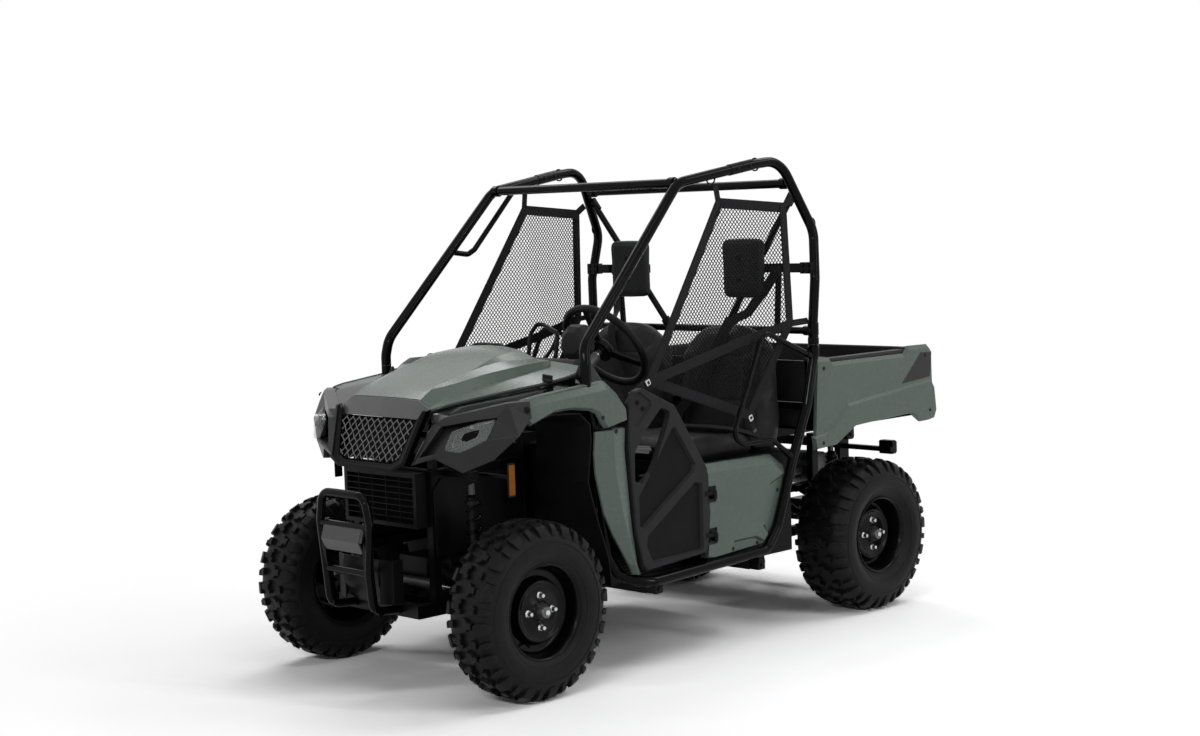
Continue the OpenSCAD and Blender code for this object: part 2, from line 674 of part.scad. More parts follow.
module tie_rods() color([0.3, 0.3, 0.3]) {
    cross_bar(-420, 420, rack_y, rack_z, 8);
    cross_bar(-200, 200, rack_y, rack_z, rack_r);
    both() translate(pt([king_x + steer_arm[0], king_y + steer_arm[1], 348]))
        cylinder(r = 14, h = 14);
}

tyre_out = overall_w / 2 - widen;
function tyre_ring(w, rim) = let (r = tyre_d / 2, x1 = tyre_out, x0 = tyre_out - w,
        bead = rim + seat_gap) [
    [bead, x1 - 26], [bead + 14, x1 - 12], [bead + 46, x1], [r - 50, x1 - 2], [r - 14, x1 - 12],
    [r, x1 - 30], [r, x0 + 30], [r - 14, x0 + 12], [r - 50, x0 + 2], [bead + 46, x0],
    [bead + 14, x0 + 12], [bead, x0 + 26], [bead, x0 + 42], [bead + 34, x0 + 24],
    [r - 40, x0 + 20], [r - 26, x0 + 40], [r - 26, x1 - 40], [r - 40, x1 - 20],
    [bead + 34, x1 - 24], [bead, x1 - 42]];

function rim_ring(w, rim, face) = let (x1 = tyre_out, x0 = tyre_out - w) [
    [rim, x0 + 24], [rim, x1 - 24], [rim - 4, x1 - 22], [rim - 8, x1 - 30],
    [rim - 7, face - 2], [rim - 26, face - 9], [84, face - 8], [76, face], [spindle_r + 14, face],
    [spindle_r + 14, face + 3], [spindle_r + pin_gap, face + 3],
    [spindle_r + pin_gap, face - 90], [46, face - 90], [46, face - 16], [rim - 24, face - 17],
    [rim - 8, face - 12], [rim - 8, x0 + 30], [rim - 4, x0 + 22]];

module tyre(y, w, rim) color([0.03, 0.03, 0.03]) wheel_ring(y, tyre_ring(w, rim));

module rim(y, w, rim_r, face) color([0.05, 0.05, 0.05]) {
    wheel_ring(y, rim_ring(w, rim_r, face));
    for (a = [45:90:315])
        translate([wx(face - 1), st(y) + nut_circle_r * cos(a), hz(axle_z) + nut_circle_r * sin(a)])
            rotate([0, 90, 0]) cylinder(r = 10, h = 15);
}

front_face_x = 597;
rear_face_x = 571;

/* ---- Bed ---- */

bed_x = 588;
bed_y0 = 562;
bed_y1 = 1300;
bed_z0 = 760;
bed_z1 = 1034;
gate_axis = [1324, 772];
gate_ears = [404, 420];

module bed_tub() color([0.06, 0.06, 0.065]) {
    difference() {
        union() {
            block([-bed_x, bed_y0, bed_z0], [bed_x, bed_y1, bed_z1]);
            both() block([bed_rail_x0, bed_y0 + 20, bed_rest_z],
                [bed_rail_x1, bed_pivot[0] + 24, bed_z0 + 1]);
            both() block([bed_rail_x0, bed_pivot[0] - 24, bed_pivot[1] - 22],
                [bed_rail_x1, bed_pivot[0] + 24, bed_rest_z + 1]);
            both() block([gate_ears[0], bed_y1 - 1, bed_z0],
                [gate_ears[1], gate_axis[0], gate_axis[1]]);
            both() cross_bar(gate_ears[0], gate_ears[1], gate_axis[0], gate_axis[1], 9);
            both() cross_bar(gate_ears[0] - 24, gate_ears[0] + 1, gate_axis[0], gate_axis[1],
                gate_pin_r);
        }
        block([-bed_x + bed_wall_t, bed_y0 + 16, bed_z0 + bed_floor_t],
            [bed_x - bed_wall_t, bed_y1 + 1, bed_z1 + 1]);
        both() cross_bar(bed_rail_x0 - 1, bed_rail_x1 + 1, bed_pivot[0], bed_pivot[1],
            bed_pin_r + pin_gap);
    }
}

module bed_sides() color([0.30, 0.37, 0.32])
    both() side_plate(bed_x + seat_gap, bed_x + panel_t, [[562, 1040], [1302, 1043], [1316, 1015],
        [1334, 767], [1270, 728], [1160, 744], [1034, 764], [806, 752], [680, 694], [538, 686]]);

module tailgate() color([0.06, 0.06, 0.065]) {
    gate_x = bed_x - bed_wall_t - 6;
    difference() {
        block([-gate_x, bed_y1 + 6, gate_axis[1] + 5], [gate_x, gate_axis[0] + 4, bed_z1 - 4]);
        both() block([gate_ears[0] - 30, bed_y1, 700], [gate_ears[1] + 7, 1400, gate_axis[1] + 30]);
    }
    both() difference() {
        union() {
            cross_bar(gate_ears[0] - 29, gate_ears[0] - 6, gate_axis[0], gate_axis[1], 10);
            block([gate_ears[0] - 29, gate_axis[0] - 8, gate_axis[1]],
                [gate_ears[0] - 6, gate_axis[0] + 4, gate_axis[1] + 31]);
        }
        cross_bar(gate_ears[0] - 26, gate_ears[0], gate_axis[0], gate_axis[1],
            gate_pin_r + pin_gap);
    }
}

hitch_z = rail_z1 + seat_gap + receiver_wall + receiver_in / 2;
hitch_y1 = 1300;
hitch_pin_y = hitch_y1 - 44;

module hitch_receiver() color([0.04, 0.04, 0.04]) {
    out = receiver_in / 2 + receiver_wall;
    difference() {
        translate([-out, st(1130), hz(hitch_z) - out]) cube([2 * out, hitch_y1 - 1130, 2 * out]);
        translate([-receiver_in / 2, st(1129), hz(hitch_z) - receiver_in / 2])
            cube([receiver_in, hitch_y1 - 1120, receiver_in]);
        translate([-out - 1, st(hitch_pin_y), hz(hitch_z)]) rotate([0, 90, 0])
            cylinder(r = hitch_pin_r, h = 2 * out + 2);
    }
}

module tail_lamps() color([0.6, 0.05, 0.05])
    both() block([392, tail_y - 20 + seat_gap, 585], [468, tail_y + 22, 648]);

module side_reflectors() color([0.9, 0.4, 0.05])
    both() block([478 + seat_gap, -952, 682], [485, -918, 798]);

main_frame();
sill_rails();
roll_cage();
head_restraints();
seat_base();
seat_cushions();
seat_backs();
hip_panels();
front_fenders();
arch_liners();
nose_panel();
grille();
headlight_bezels();
headlamps();
brush_guard();
radiator();
skid_plate();
floor_pan();
dashboard();
steering_column();
side_nets();
seat_belts();
engine();
exhaust();
final_drives();
suspension_arms();
shocks();
hitch_receiver();
tail_lamps();
side_reflectors();
hood();
steering_wheel();
tie_rods();
knuckle();  // left_knuckle
mirror([1, 0, 0]) knuckle();  // right_knuckle
tyre(front_axle, front_tyre_w, front_rim_r);  // front_left_tyre
rim(front_axle, front_tyre_w, front_rim_r, front_face_x);  // front_left_rim
mirror([1, 0, 0]) tyre(front_axle, front_tyre_w, front_rim_r);  // front_right_tyre
mirror([1, 0, 0]) rim(front_axle, front_tyre_w, front_rim_r, front_face_x);  // front_right_rim
tyre(rear_axle, rear_tyre_w, rear_rim_r);  // rear_left_tyre
rim(rear_axle, rear_tyre_w, rear_rim_r, rear_face_x);  // rear_left_rim
mirror([1, 0, 0]) tyre(rear_axle, rear_tyre_w, rear_rim_r);  // rear_right_tyre
mirror([1, 0, 0]) rim(rear_axle, rear_tyre_w, rear_rim_r, rear_face_x);  // rear_right_rim
door();  // left_door
mirror([1, 0, 0]) door();  // right_door
bed_tub();
bed_sides();
tailgate();
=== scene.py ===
"""Looks of a two-seat side by side utility vehicle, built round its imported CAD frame.

Shapes are written in millimetres from the middle of the wheelbase, and to_frame() carries them
to metres in the frame: Z is up, the nose points to -Y and the driver sits on the +X side.
"""
import math

import bmesh
import bpy
from mathutils import Matrix, Vector


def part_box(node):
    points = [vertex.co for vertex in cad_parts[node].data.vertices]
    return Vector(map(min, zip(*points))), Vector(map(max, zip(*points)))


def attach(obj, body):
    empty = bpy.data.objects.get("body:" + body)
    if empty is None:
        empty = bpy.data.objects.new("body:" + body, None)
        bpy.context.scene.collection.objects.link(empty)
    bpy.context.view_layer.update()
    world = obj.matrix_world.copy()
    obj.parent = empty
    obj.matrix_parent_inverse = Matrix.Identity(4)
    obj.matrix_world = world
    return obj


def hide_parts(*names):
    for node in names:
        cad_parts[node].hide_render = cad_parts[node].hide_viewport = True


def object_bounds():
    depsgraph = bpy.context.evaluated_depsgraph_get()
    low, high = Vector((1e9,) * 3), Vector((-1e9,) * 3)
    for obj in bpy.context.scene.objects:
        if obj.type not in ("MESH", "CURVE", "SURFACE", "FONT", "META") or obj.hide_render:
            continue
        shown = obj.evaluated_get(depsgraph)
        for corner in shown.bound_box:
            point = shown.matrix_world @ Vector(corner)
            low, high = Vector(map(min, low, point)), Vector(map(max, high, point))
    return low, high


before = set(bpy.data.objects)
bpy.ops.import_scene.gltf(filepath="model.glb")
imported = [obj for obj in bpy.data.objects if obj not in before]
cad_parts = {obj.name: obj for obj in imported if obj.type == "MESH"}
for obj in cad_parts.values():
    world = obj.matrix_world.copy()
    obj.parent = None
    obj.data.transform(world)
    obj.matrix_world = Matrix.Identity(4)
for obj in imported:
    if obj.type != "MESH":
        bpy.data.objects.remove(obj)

CAD_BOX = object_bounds()


def centre(node):
    low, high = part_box(node)
    return (low + high) / 2


MID_Y = (centre("front_left_tyre").y + centre("rear_left_tyre").y) / 2
AXLE_Y = (centre("rear_left_tyre").y - centre("front_left_tyre").y) * 500
AXLE_Z = centre("front_left_tyre").z * 1000
HALF_W = CAD_BOX[1].x * 1000


def to_frame(p):
    """A written point, in millimetres, as a point of the frame, in metres."""
    return Vector((p[0] / 1000, MID_Y + p[1] / 1000, p[2] / 1000))


# ---- Camera, floor and light ----

CAMERA_PLACE = (5279, -5239, 1623)
CAMERA_AZIMUTH, CAMERA_ELEVATION, CAMERA_ROLL = 45.35, 4.56, -1.90
CAMERA_LENS = 57.8


def make_camera():
    """The camera, aimed by its azimuth, its elevation and its roll, in degrees."""
    a, e, r = (math.radians(v) for v in (CAMERA_AZIMUTH, CAMERA_ELEVATION, CAMERA_ROLL))
    back = Vector((math.sin(a) * math.cos(e), -math.cos(a) * math.cos(e), math.sin(e)))
    right0 = Vector((math.cos(a), math.sin(a), 0))
    up0 = back.cross(right0)
    right = right0 * math.cos(r) + up0 * math.sin(r)
    up = up0 * math.cos(r) - right0 * math.sin(r)
    data = bpy.data.cameras.new("camera")
    data.sensor_width, data.lens = 36, CAMERA_LENS
    data.clip_start, data.clip_end = 0.1, 200
    camera = bpy.data.objects.new("camera", data)
    bpy.context.scene.collection.objects.link(camera)
    camera.matrix_world = (Matrix.Translation(to_frame(CAMERA_PLACE))
                           @ Matrix((right, up, back)).transposed().to_4x4())
    bpy.context.scene.camera = camera


def nodes_of(owner):
    """A cleared node tree with its output, and a short way to add and join nodes."""
    owner.use_nodes = True
    tree = owner.node_tree
    tree.nodes.clear()

    def add(kind, **values):
        n = tree.nodes.new(kind)
        for key, value in values.items():
            if key in n.inputs:
                n.inputs[key].default_value = value
            else:
                setattr(n, key, value)
        return n

    def join(a, out, b, inp):
        tree.links.new(a.outputs[out], b.inputs[inp])

    return add, join


def shown_rays(add, join):
    """1 for camera, glossy and transmission rays, 0 for the light that falls on the object."""
    path = add("ShaderNodeLightPath")
    first = add("ShaderNodeMath", operation="MAXIMUM")
    both = add("ShaderNodeMath", operation="MAXIMUM")
    join(path, "Is Camera Ray", first, 0)
    join(path, "Is Glossy Ray", first, 1)
    join(first, 0, both, 0)
    join(path, "Is Transmission Ray", both, 1)
    return both


WORLD_FILL = 0.09


def make_world():
    """White where it is seen, directly or in a reflection, and a weak fill on the object."""
    world = bpy.data.worlds.new("studio")
    bpy.context.scene.world = world
    add, join = nodes_of(world)
    seen = shown_rays(add, join)
    strength = add("ShaderNodeMapRange")
    strength.inputs["To Min"].default_value = WORLD_FILL
    strength.inputs["To Max"].default_value = 1.0
    shade = add("ShaderNodeBackground", Color=(1, 1, 1, 1))
    out = add("ShaderNodeOutputWorld")
    join(seen, 0, strength, "Value")
    join(strength, 0, shade, "Strength")
    join(shade, 0, out, "Surface")


FLOOR_SIZE = 60
FLOOR_TONE, FLOOR_SHOWN = 0.82, 2.5
FADE_FROM, FADE_TO = 1.3, 3.0


def make_floor():
    """A pale floor that fades into the background some way out from the vehicle."""
    mesh = bpy.data.meshes.new("floor")
    mesh.from_pydata([(x * FLOOR_SIZE, y * FLOOR_SIZE, 0)
                      for x, y in ((-1, -1), (1, -1), (1, 1), (-1, 1))], [], [(0, 1, 2, 3)])
    floor = bpy.data.objects.new("floor", mesh)
    bpy.context.scene.collection.objects.link(floor)
    material = bpy.data.materials.new("floor")
    add, join = nodes_of(material)
    place = add("ShaderNodeNewGeometry")
    length = add("ShaderNodeVectorMath", operation="LENGTH")
    far = add("ShaderNodeMapRange", interpolation_type="SMOOTHSTEP")
    far.inputs["From Min"].default_value = FADE_FROM
    far.inputs["From Max"].default_value = FADE_TO
    seen = shown_rays(add, join)
    fade = add("ShaderNodeMath", operation="MULTIPLY")
    lit = add("ShaderNodeBsdfDiffuse")
    paint = add("ShaderNodeMix", data_type="RGBA")
    paint.inputs[6].default_value = (FLOOR_TONE, FLOOR_TONE, FLOOR_TONE, 1)
    paint.inputs[7].default_value = (FLOOR_SHOWN, FLOOR_SHOWN, FLOOR_SHOWN, 1)
    join(seen, 0, paint, 0)
    join(paint, 2, lit, "Color")
    glow = add("ShaderNodeEmission", Color=(1, 1, 1, 1), Strength=1.0)
    mix = add("ShaderNodeMixShader")
    out = add("ShaderNodeOutputMaterial")
    join(place, "Position", length, 0)
    join(length, "Value", far, "Value")
    join(far, "Result", fade, 0)
    join(seen, 0, fade, 1)
    join(fade, 0, mix, 0)
    join(lit, 0, mix, 1)
    join(glow, 0, mix, 2)
    join(mix, 0, out, "Surface")
    mesh.materials.append(material)


def area_light(name, place, aim, size, power):
    """A rectangular light at place, turned towards aim, in metres and watts."""
    data = bpy.data.lights.new(name, "AREA")
    data.shape, data.size, data.size_y, data.energy = "RECTANGLE", size[0], size[1], power
    light = bpy.data.objects.new(name, data)
    bpy.context.scene.collection.objects.link(light)
    light.location = place
    light.rotation_euler = (Vector(aim) - Vector(place)).to_track_quat("-Z", "Y").to_euler()


RING_RADIUS = 4.3
RING_MIDDLE = -0.7
RING_BOXES = [(55, 4.2), (88, 5.4), (125, 5.7), (147, 5.6), (171, 5.2)]


def make_lights():
    """Three strips ahead, and a ring of boxes that lights the facets that lean outwards."""
    area_light("top_strip", (1.6, -1.6, 4.6), (0, -0.3, 0.6), (3.2, 0.6), 15)
    area_light("nose_strip", (2.6, -5.8, 3.2), (0, -0.5, 0.7), (2.6, 0.16), 52)
    area_light("side_strip", (5.8, 0.9, 2.8), (0.2, 0.2, 0.7), (0.16, 3.2), 48)
    for k, (azimuth, high) in enumerate(RING_BOXES):
        a = math.radians(azimuth)
        place = (RING_RADIUS * math.cos(a), RING_RADIUS * math.sin(a) + RING_MIDDLE, high)
        area_light(f"ring_box_{k}", place, (0, RING_MIDDLE, 1.1), (2.1, 0.8), 27)


# ---- Materials ----

def material(name, colour, rough, spec=0.5, metal=0.0, coat=0.0, coat_rough=0.1, mottle=0.12,
             mottle_scale=9, grain=0.0, grain_scale=900, streak=0.0, sheen=0.0, pattern=None):
    """A Principled surface with mottled colour and roughness, and a fine grain in its bump."""
    m = bpy.data.materials.new(name)
    add, join = nodes_of(m)
    out = add("ShaderNodeOutputMaterial")
    shade = add("ShaderNodeBsdfPrincipled")
    shade.inputs["Metallic"].default_value = metal
    shade.inputs["Specular IOR Level"].default_value = spec
    shade.inputs["Coat Weight"].default_value = coat
    shade.inputs["Coat Roughness"].default_value = coat_rough
    shade.inputs["Sheen Weight"].default_value = sheen
    join(shade, 0, out, "Surface")
    where = add("ShaderNodeTexCoord")
    cloud = add("ShaderNodeTexNoise", Scale=mottle_scale, Detail=6.0, Roughness=0.6)
    join(where, "Object", cloud, "Vector")
    tone = add("ShaderNodeValToRGB")
    dark, light = ([c * k for c in colour] + [1] for k in (1 - mottle, 1 + mottle))
    tone.color_ramp.elements[0].position, tone.color_ramp.elements[1].position = 0.3, 0.7
    tone.color_ramp.elements[0].color, tone.color_ramp.elements[1].color = dark, light
    join(cloud, "Fac", tone, "Fac")
    rub = add("ShaderNodeTexNoise", Scale=mottle_scale * 5, Detail=8.0, Roughness=0.7)
    join(where, "Object", rub, "Vector")
    even = add("ShaderNodeMapRange")
    even.inputs["To Min"].default_value = max(0.02, rough - 0.07)
    even.inputs["To Max"].default_value = min(1.0, rough + 0.07)
    join(rub, "Fac", even, "Value")
    join(even, 0, shade, "Roughness")
    if streak:
        rub.inputs["Distortion"].default_value = streak
    last = (tone, "Color")
    if grain or pattern:
        bump = add("ShaderNodeBump", Strength=grain or 0.3, Distance=0.0006)
        if pattern:
            height, last = pattern(add, join, where, last)
        else:
            fine = add("ShaderNodeTexNoise", Scale=grain_scale, Detail=3.0)
            join(where, "Object", fine, "Vector")
            height = (fine, "Fac")
        join(height[0], height[1], bump, "Height")
        join(bump, 0, shade, "Normal")
    join(last[0], last[1], shade, "Base Color")
    return m


def leather_grain(add, join, where, colour):
    cells = add("ShaderNodeTexVoronoi", Scale=420.0, feature="DISTANCE_TO_EDGE")
    fold = add("ShaderNodeTexNoise", Scale=38.0, Detail=5.0)
    total = add("ShaderNodeMath", operation="MULTIPLY_ADD")
    total.inputs[1].default_value = 1.6
    join(where, "Object", cells, "Vector")
    join(where, "Object", fold, "Vector")
    join(cells, "Distance", total, 0)
    join(fold, "Fac", total, 2)
    return (total, 0), colour


def weave(scale):
    """Two crossed sets of ribs, tilted so that they show on faces of every direction."""
    def build(add, join, where, colour):
        ribs = []
        for turn in ((0.0, 0.6, 0.0), (0.0, 0.6, math.pi / 2)):
            aim = add("ShaderNodeMapping")
            aim.inputs["Rotation"].default_value = turn
            rib = add("ShaderNodeTexWave", Scale=scale, Distortion=0.4, Detail=1.0)
            join(where, "Object", aim, "Vector")
            join(aim, 0, rib, "Vector")
            ribs.append(rib)
        height = add("ShaderNodeMath", operation="MAXIMUM")
        join(ribs[0], "Fac", height, 0)
        join(ribs[1], "Fac", height, 1)
        return (height, 0), colour
    return build


def coarse_grain(scale, size):
    """Moulded plastic: fine pebbles over a faint swell."""
    def build(add, join, where, colour):
        pebble = add("ShaderNodeTexVoronoi", Scale=scale)
        swell = add("ShaderNodeTexNoise", Scale=size, Detail=4.0)
        total = add("ShaderNodeMath", operation="MULTIPLY_ADD")
        total.inputs[1].default_value = 0.5
        join(where, "Object", pebble, "Vector")
        join(where, "Object", swell, "Vector")
        join(pebble, "Distance", total, 0)
        join(swell, "Fac", total, 2)
        return (total, 0), colour
    return build


MATERIALS = {
    "green": material("sage_green", (0.140, 0.186, 0.163), 0.27, spec=0.34, mottle=0.05,
                      mottle_scale=3, grain=0.10, grain_scale=420),
    "plastic": material("black_plastic", (0.031, 0.031, 0.033), 0.52, spec=0.12, mottle=0.14,
                        grain=0.35, pattern=coarse_grain(1100, 60)),
    "liner": material("liner_plastic", (0.010, 0.010, 0.011), 0.48, spec=0.07, mottle=0.2,
                      grain=0.3, pattern=coarse_grain(900, 30)),
    "gloss": material("gloss_black", (0.003, 0.003, 0.0035), 0.10, spec=0.08, mottle=0.3,
                      grain=0.03, grain_scale=260),
    "satin": material("satin_black", (0.007, 0.007, 0.008), 0.36, spec=0.10, mottle=0.25,
                      grain=0.12, grain_scale=500),
    "plate": material("satin_grey_black", (0.075, 0.075, 0.080), 0.34, spec=0.4, mottle=0.08,
                      grain=0.1, grain_scale=600),
    "chassis": material("frame_paint", (0.004, 0.004, 0.0045), 0.34, spec=0.10, mottle=0.3,
                        mottle_scale=14, grain=0.15, grain_scale=300),
    "vinyl": material("seat_vinyl", (0.026, 0.026, 0.028), 0.42, spec=0.14, mottle=0.12,
                      grain=0.5, pattern=leather_grain),
    "foam": material("pad_skin", (0.030, 0.031, 0.033), 0.55, spec=0.14, mottle=0.15,
                     grain=0.6, pattern=leather_grain),
    "webbing": material("webbing", (0.019, 0.019, 0.021), 0.7, spec=0.08, mottle=0.15,
                        sheen=0.1, grain=0.7, pattern=weave(160)),
    "net": material("net_cord", (0.009, 0.009, 0.010), 0.65, spec=0.08, mottle=0.2,
                    grain=0.5, pattern=weave(420)),
    "tyre": material("tyre_rubber", (0.0125, 0.0125, 0.0134), 0.46, spec=0.11, mottle=0.22,
                     mottle_scale=16, grain=0.22, grain_scale=520),
    "rim": material("wheel_paint", (0.003, 0.003, 0.0035), 0.24, spec=0.12, mottle=0.25,
                    grain=0.05, grain_scale=300),
    "rubber": material("soft_rubber", (0.008, 0.008, 0.009), 0.6, spec=0.16, mottle=0.2,
                       grain=0.4, pattern=coarse_grain(1500, 80)),
    "steel": material("zinc_steel", (0.52, 0.52, 0.53), 0.27, metal=1.0, mottle=0.12,
                      mottle_scale=60, grain=0.1, grain_scale=700),
    "cast": material("cast_metal", (0.10, 0.10, 0.105), 0.46, metal=0.7, mottle=0.2,
                     mottle_scale=30, grain=0.5, grain_scale=260),
    # Near-white base that is only partly metallic: real chrome, with its diffuse white as a painted
    # reflection that keeps the bowl bright
    "chrome": material("reflector_chrome", (0.92, 0.92, 0.94), 0.12, metal=0.6, mottle=0.02,
                       mottle_scale=40, grain=0.04, grain_scale=90),
    "amber": material("amber_lens", (0.40, 0.125, 0.008), 0.34, spec=0.12, coat=0.0, mottle=0.1,
                      mottle_scale=50, grain=0.3, pattern=weave(120)),
    "red": material("red_lens", (0.42, 0.012, 0.012), 0.16, spec=0.5, coat=0.5, mottle=0.1,
                    mottle_scale=50, grain=0.3, pattern=weave(120)),
    "stripe": material("stripe_film", (0.010, 0.010, 0.011), 0.30, spec=0.3, mottle=0.2,
                       grain=0.04, grain_scale=300),
    "dark": material("shadow_black", (0.004, 0.004, 0.004), 0.7, spec=0.1, mottle=0.3,
                     grain=0.2, grain_scale=200),
    "face": material("gauge_face", (0.035, 0.04, 0.045), 0.12, spec=0.5, coat=0.6, mottle=0.15,
                     mottle_scale=40, grain=0.02, grain_scale=200),
    "cap": material("hub_cap", (0.11, 0.11, 0.115), 0.3, metal=0.6, mottle=0.15,
                    mottle_scale=50, grain=0.1, grain_scale=500),
    "bezel": material("bezel_plastic", (0.024, 0.024, 0.026), 0.30, spec=0.26, mottle=0.12,
                      grain=0.25, pattern=coarse_grain(1300, 70)),
    "nose": material("nose_plastic", (0.150, 0.151, 0.155), 0.32, spec=0.5, mottle=0.08,
                     grain=0.12, pattern=coarse_grain(1500, 60)),
    "meshwire": material("grille_wire", (0.16, 0.16, 0.165), 0.22, spec=0.6, metal=0.4,
                         mottle=0.2, mottle_scale=60, grain=0.1, grain_scale=700),
}


def clear_lens():
    """A thin clear cover: mostly see-through, so the lamps light up the bowl behind it."""
    m = bpy.data.materials.new("clear_lens")
    add, join = nodes_of(m)
    out = add("ShaderNodeOutputMaterial")
    glass = add("ShaderNodeBsdfPrincipled", Roughness=0.05, IOR=1.5, Alpha=0.14)
    where = add("ShaderNodeTexCoord")
    tint = add("ShaderNodeTexNoise", Scale=6.0)
    tone = add("ShaderNodeValToRGB")
    tone.color_ramp.elements[0].color = (0.80, 0.82, 0.84, 1)
    tone.color_ramp.elements[1].color = (0.90, 0.91, 0.92, 1)
    join(where, "Object", tint, "Vector")
    join(tint, "Fac", tone, "Fac")
    join(tone, "Color", glass, "Base Color")
    join(glass, 0, out, "Surface")
    return m


MATERIALS["lens"] = clear_lens()


# ---- Mesh helpers, in millimetres ----

def unit(v):
    """The vector with a length of 1."""
    return Vector(v).normalized()


def corner(a, b, c, r, n):
    """Points of an arc of radius r that rounds the corner b."""
    u, v = (a - b), (c - b)
    lu, lv = u.length, v.length
    u, v = u / lu, v / lv
    half = math.acos(max(-1, min(1, u.dot(v)))) / 2
    if half > math.radians(88) or half < 1e-3:
        return [b]
    t = min(r / math.tan(half), lu * 0.48, lv * 0.48)
    rr = t * math.tan(half)
    m = b + (u + v).normalized() * (rr / math.sin(half))
    p, q = b + u * t - m, b + v * t - m
    w = math.pi - 2 * half
    return [m + (p * math.sin(w * (1 - i / n)) + q * math.sin(w * i / n)) / math.sin(w)
            for i in range(n + 1)]


def bent(points, r, n=7):
    """A path with its corners rounded."""
    pts = [Vector(p) for p in points]
    out = [pts[0]]
    for i in range(1, len(pts) - 1):
        out += corner(pts[i - 1], pts[i], pts[i + 1], r, n)
    return out + [pts[-1]]


def rounded(outline, r, n=4):
    """A closed 2-D outline with its corners rounded; r is one radius or one for each corner."""
    pts = [Vector((p[0], p[1], 0)) for p in outline]
    k = len(pts)
    radii = r if hasattr(r, "__len__") else [r] * k
    out = []
    for i in range(k):
        if radii[i] <= 0:
            out.append(pts[i])
        else:
            out += corner(pts[i - 1], pts[i], pts[(i + 1) % k], radii[i], n)
    return [(p.x, p.y) for p in out]


def rounded_ring(points, r, n=3):
    """A closed ring in space with its corners rounded."""
    pts = [Vector(p) for p in points]
    k = len(pts)
    out = []
    for i in range(k):
        out += corner(pts[i - 1], pts[i], pts[(i + 1) % k], r, n)
    return out


def area_of(outline):
    """Signed area of a closed 2-D outline."""
    return sum(outline[i - 1][0] * outline[i][1] - outline[i][0] * outline[i - 1][1]
               for i in range(len(outline))) / 2


def inset(outline, d):
    """The outline moved inwards by d; d is one distance or one for each edge i to i + 1."""
    k = len(outline)
    ds = d if hasattr(d, "__len__") else [d] * k
    side = 1 if area_of(outline) > 0 else -1
    lines = []
    for i in range(k):
        a, b = Vector(outline[i]), Vector(outline[(i + 1) % k])
        t = (b - a).normalized()
        nrm = Vector((-t.y, t.x)) * side
        lines.append((a + nrm * ds[i], t))
    out = []
    for i in range(k):
        (p, t), (q, s) = lines[i - 1], lines[i]
        cross = t.x * s.y - t.y * s.x
        if abs(cross) < 0.12:
            nrm = Vector((-t.y - s.y, t.x + s.x)).normalized() * side
            out.append(tuple(Vector(outline[i]) + nrm * (ds[i - 1] + ds[i]) / 2))
        else:
            w = q - p
            out.append(tuple(p + t * ((w.x * s.y - w.y * s.x) / cross)))
    return out


def loft(rings, closed=True, caps=True):
    """Faces between rings of equal length; each ring is a list of points."""
    n = len(rings[0])
    verts = [tuple(p) for ring in rings for p in ring]
    faces = []
    for i in range(len(rings) - 1):
        for k in range(n if closed else n - 1):
            a, b = i * n + k, i * n + (k + 1) % n
            faces.append([a, b, b + n, a + n])
    if caps:
        faces.append(list(range(n))[::-1])
        faces.append([(len(rings) - 1) * n + k for k in range(n)])
    return verts, faces


def plate(outline, x0, x1, chamfer=0.0, deep=None, r=0):
    """A plate in the side view: outline of [y, z], from x0 to its outer face at x1. The outer
    edge is cut back by chamfer, one distance or one for each edge, over the depth deep, and
    the corners are rounded to r, one radius or one for each corner."""
    turn = 1 if x1 > x0 else -1

    def ring(x, line):
        return [(x, *q) for q in (rounded(line, r, 3) if r else line)]

    rings = [ring(x0, outline)]
    if chamfer:
        rings.append(ring(x1 - (deep or chamfer) * turn, outline))
        rings.append(ring(x1, inset(outline, chamfer)))
    else:
        rings.append(ring(x1, outline))
    return loft(rings)


def prism(outline, z0, z1, place, chamfer=0.0):
    """An extruded 2-D outline of [u, v], carried by place(u, v, w) into the vehicle."""
    rings = [[place(u, v, z0) for u, v in outline]]
    if chamfer:
        rings.append([place(u, v, z1 - chamfer) for u, v in outline])
        rings.append([place(u, v, z1) for u, v in inset(outline, chamfer)])
    else:
        rings.append([place(u, v, z1) for u, v in outline])
    return loft(rings)


def block(a, b):
    (x0, y0, z0), (x1, y1, z1) = a, b
    return loft([[(x0, y0, z), (x1, y0, z), (x1, y1, z), (x0, y1, z)] for z in (z0, z1)])


def frames(path, side=None):
    """Two cross directions at each point of a path, carried along without twist."""
    out = []
    s = side
    for i in range(len(path)):
        t = (path[min(i + 1, len(path) - 1)] - path[max(i - 1, 0)]).normalized()
        if s is None:
            s = t.orthogonal()
        s = (s - t * s.dot(t)).normalized()
        out.append((s.copy(), t.cross(s)))
    return out


def tube(points, r, sides=18):
    """A round bar of radius r along a path."""
    path = [Vector(p) for p in points]
    rings = []
    for p, (u, w) in zip(path, frames(path)):
        rings.append([p + (u * math.cos(a) + w * math.sin(a)) * r
                      for a in (2 * math.pi * k / sides for k in range(sides))])
    return loft(rings)


def strap(points, width, thick, side):
    """A flat strap along a path, its width along side."""
    path = [Vector(p) for p in points]
    rings = []
    for p, (u, w) in zip(path, frames(path, Vector(side))):
        rings.append([p + u * a + w * b for a, b in (
            (-width / 2, -thick / 2), (width / 2, -thick / 2),
            (width / 2, thick / 2), (-width / 2, thick / 2))])
    return loft(rings)


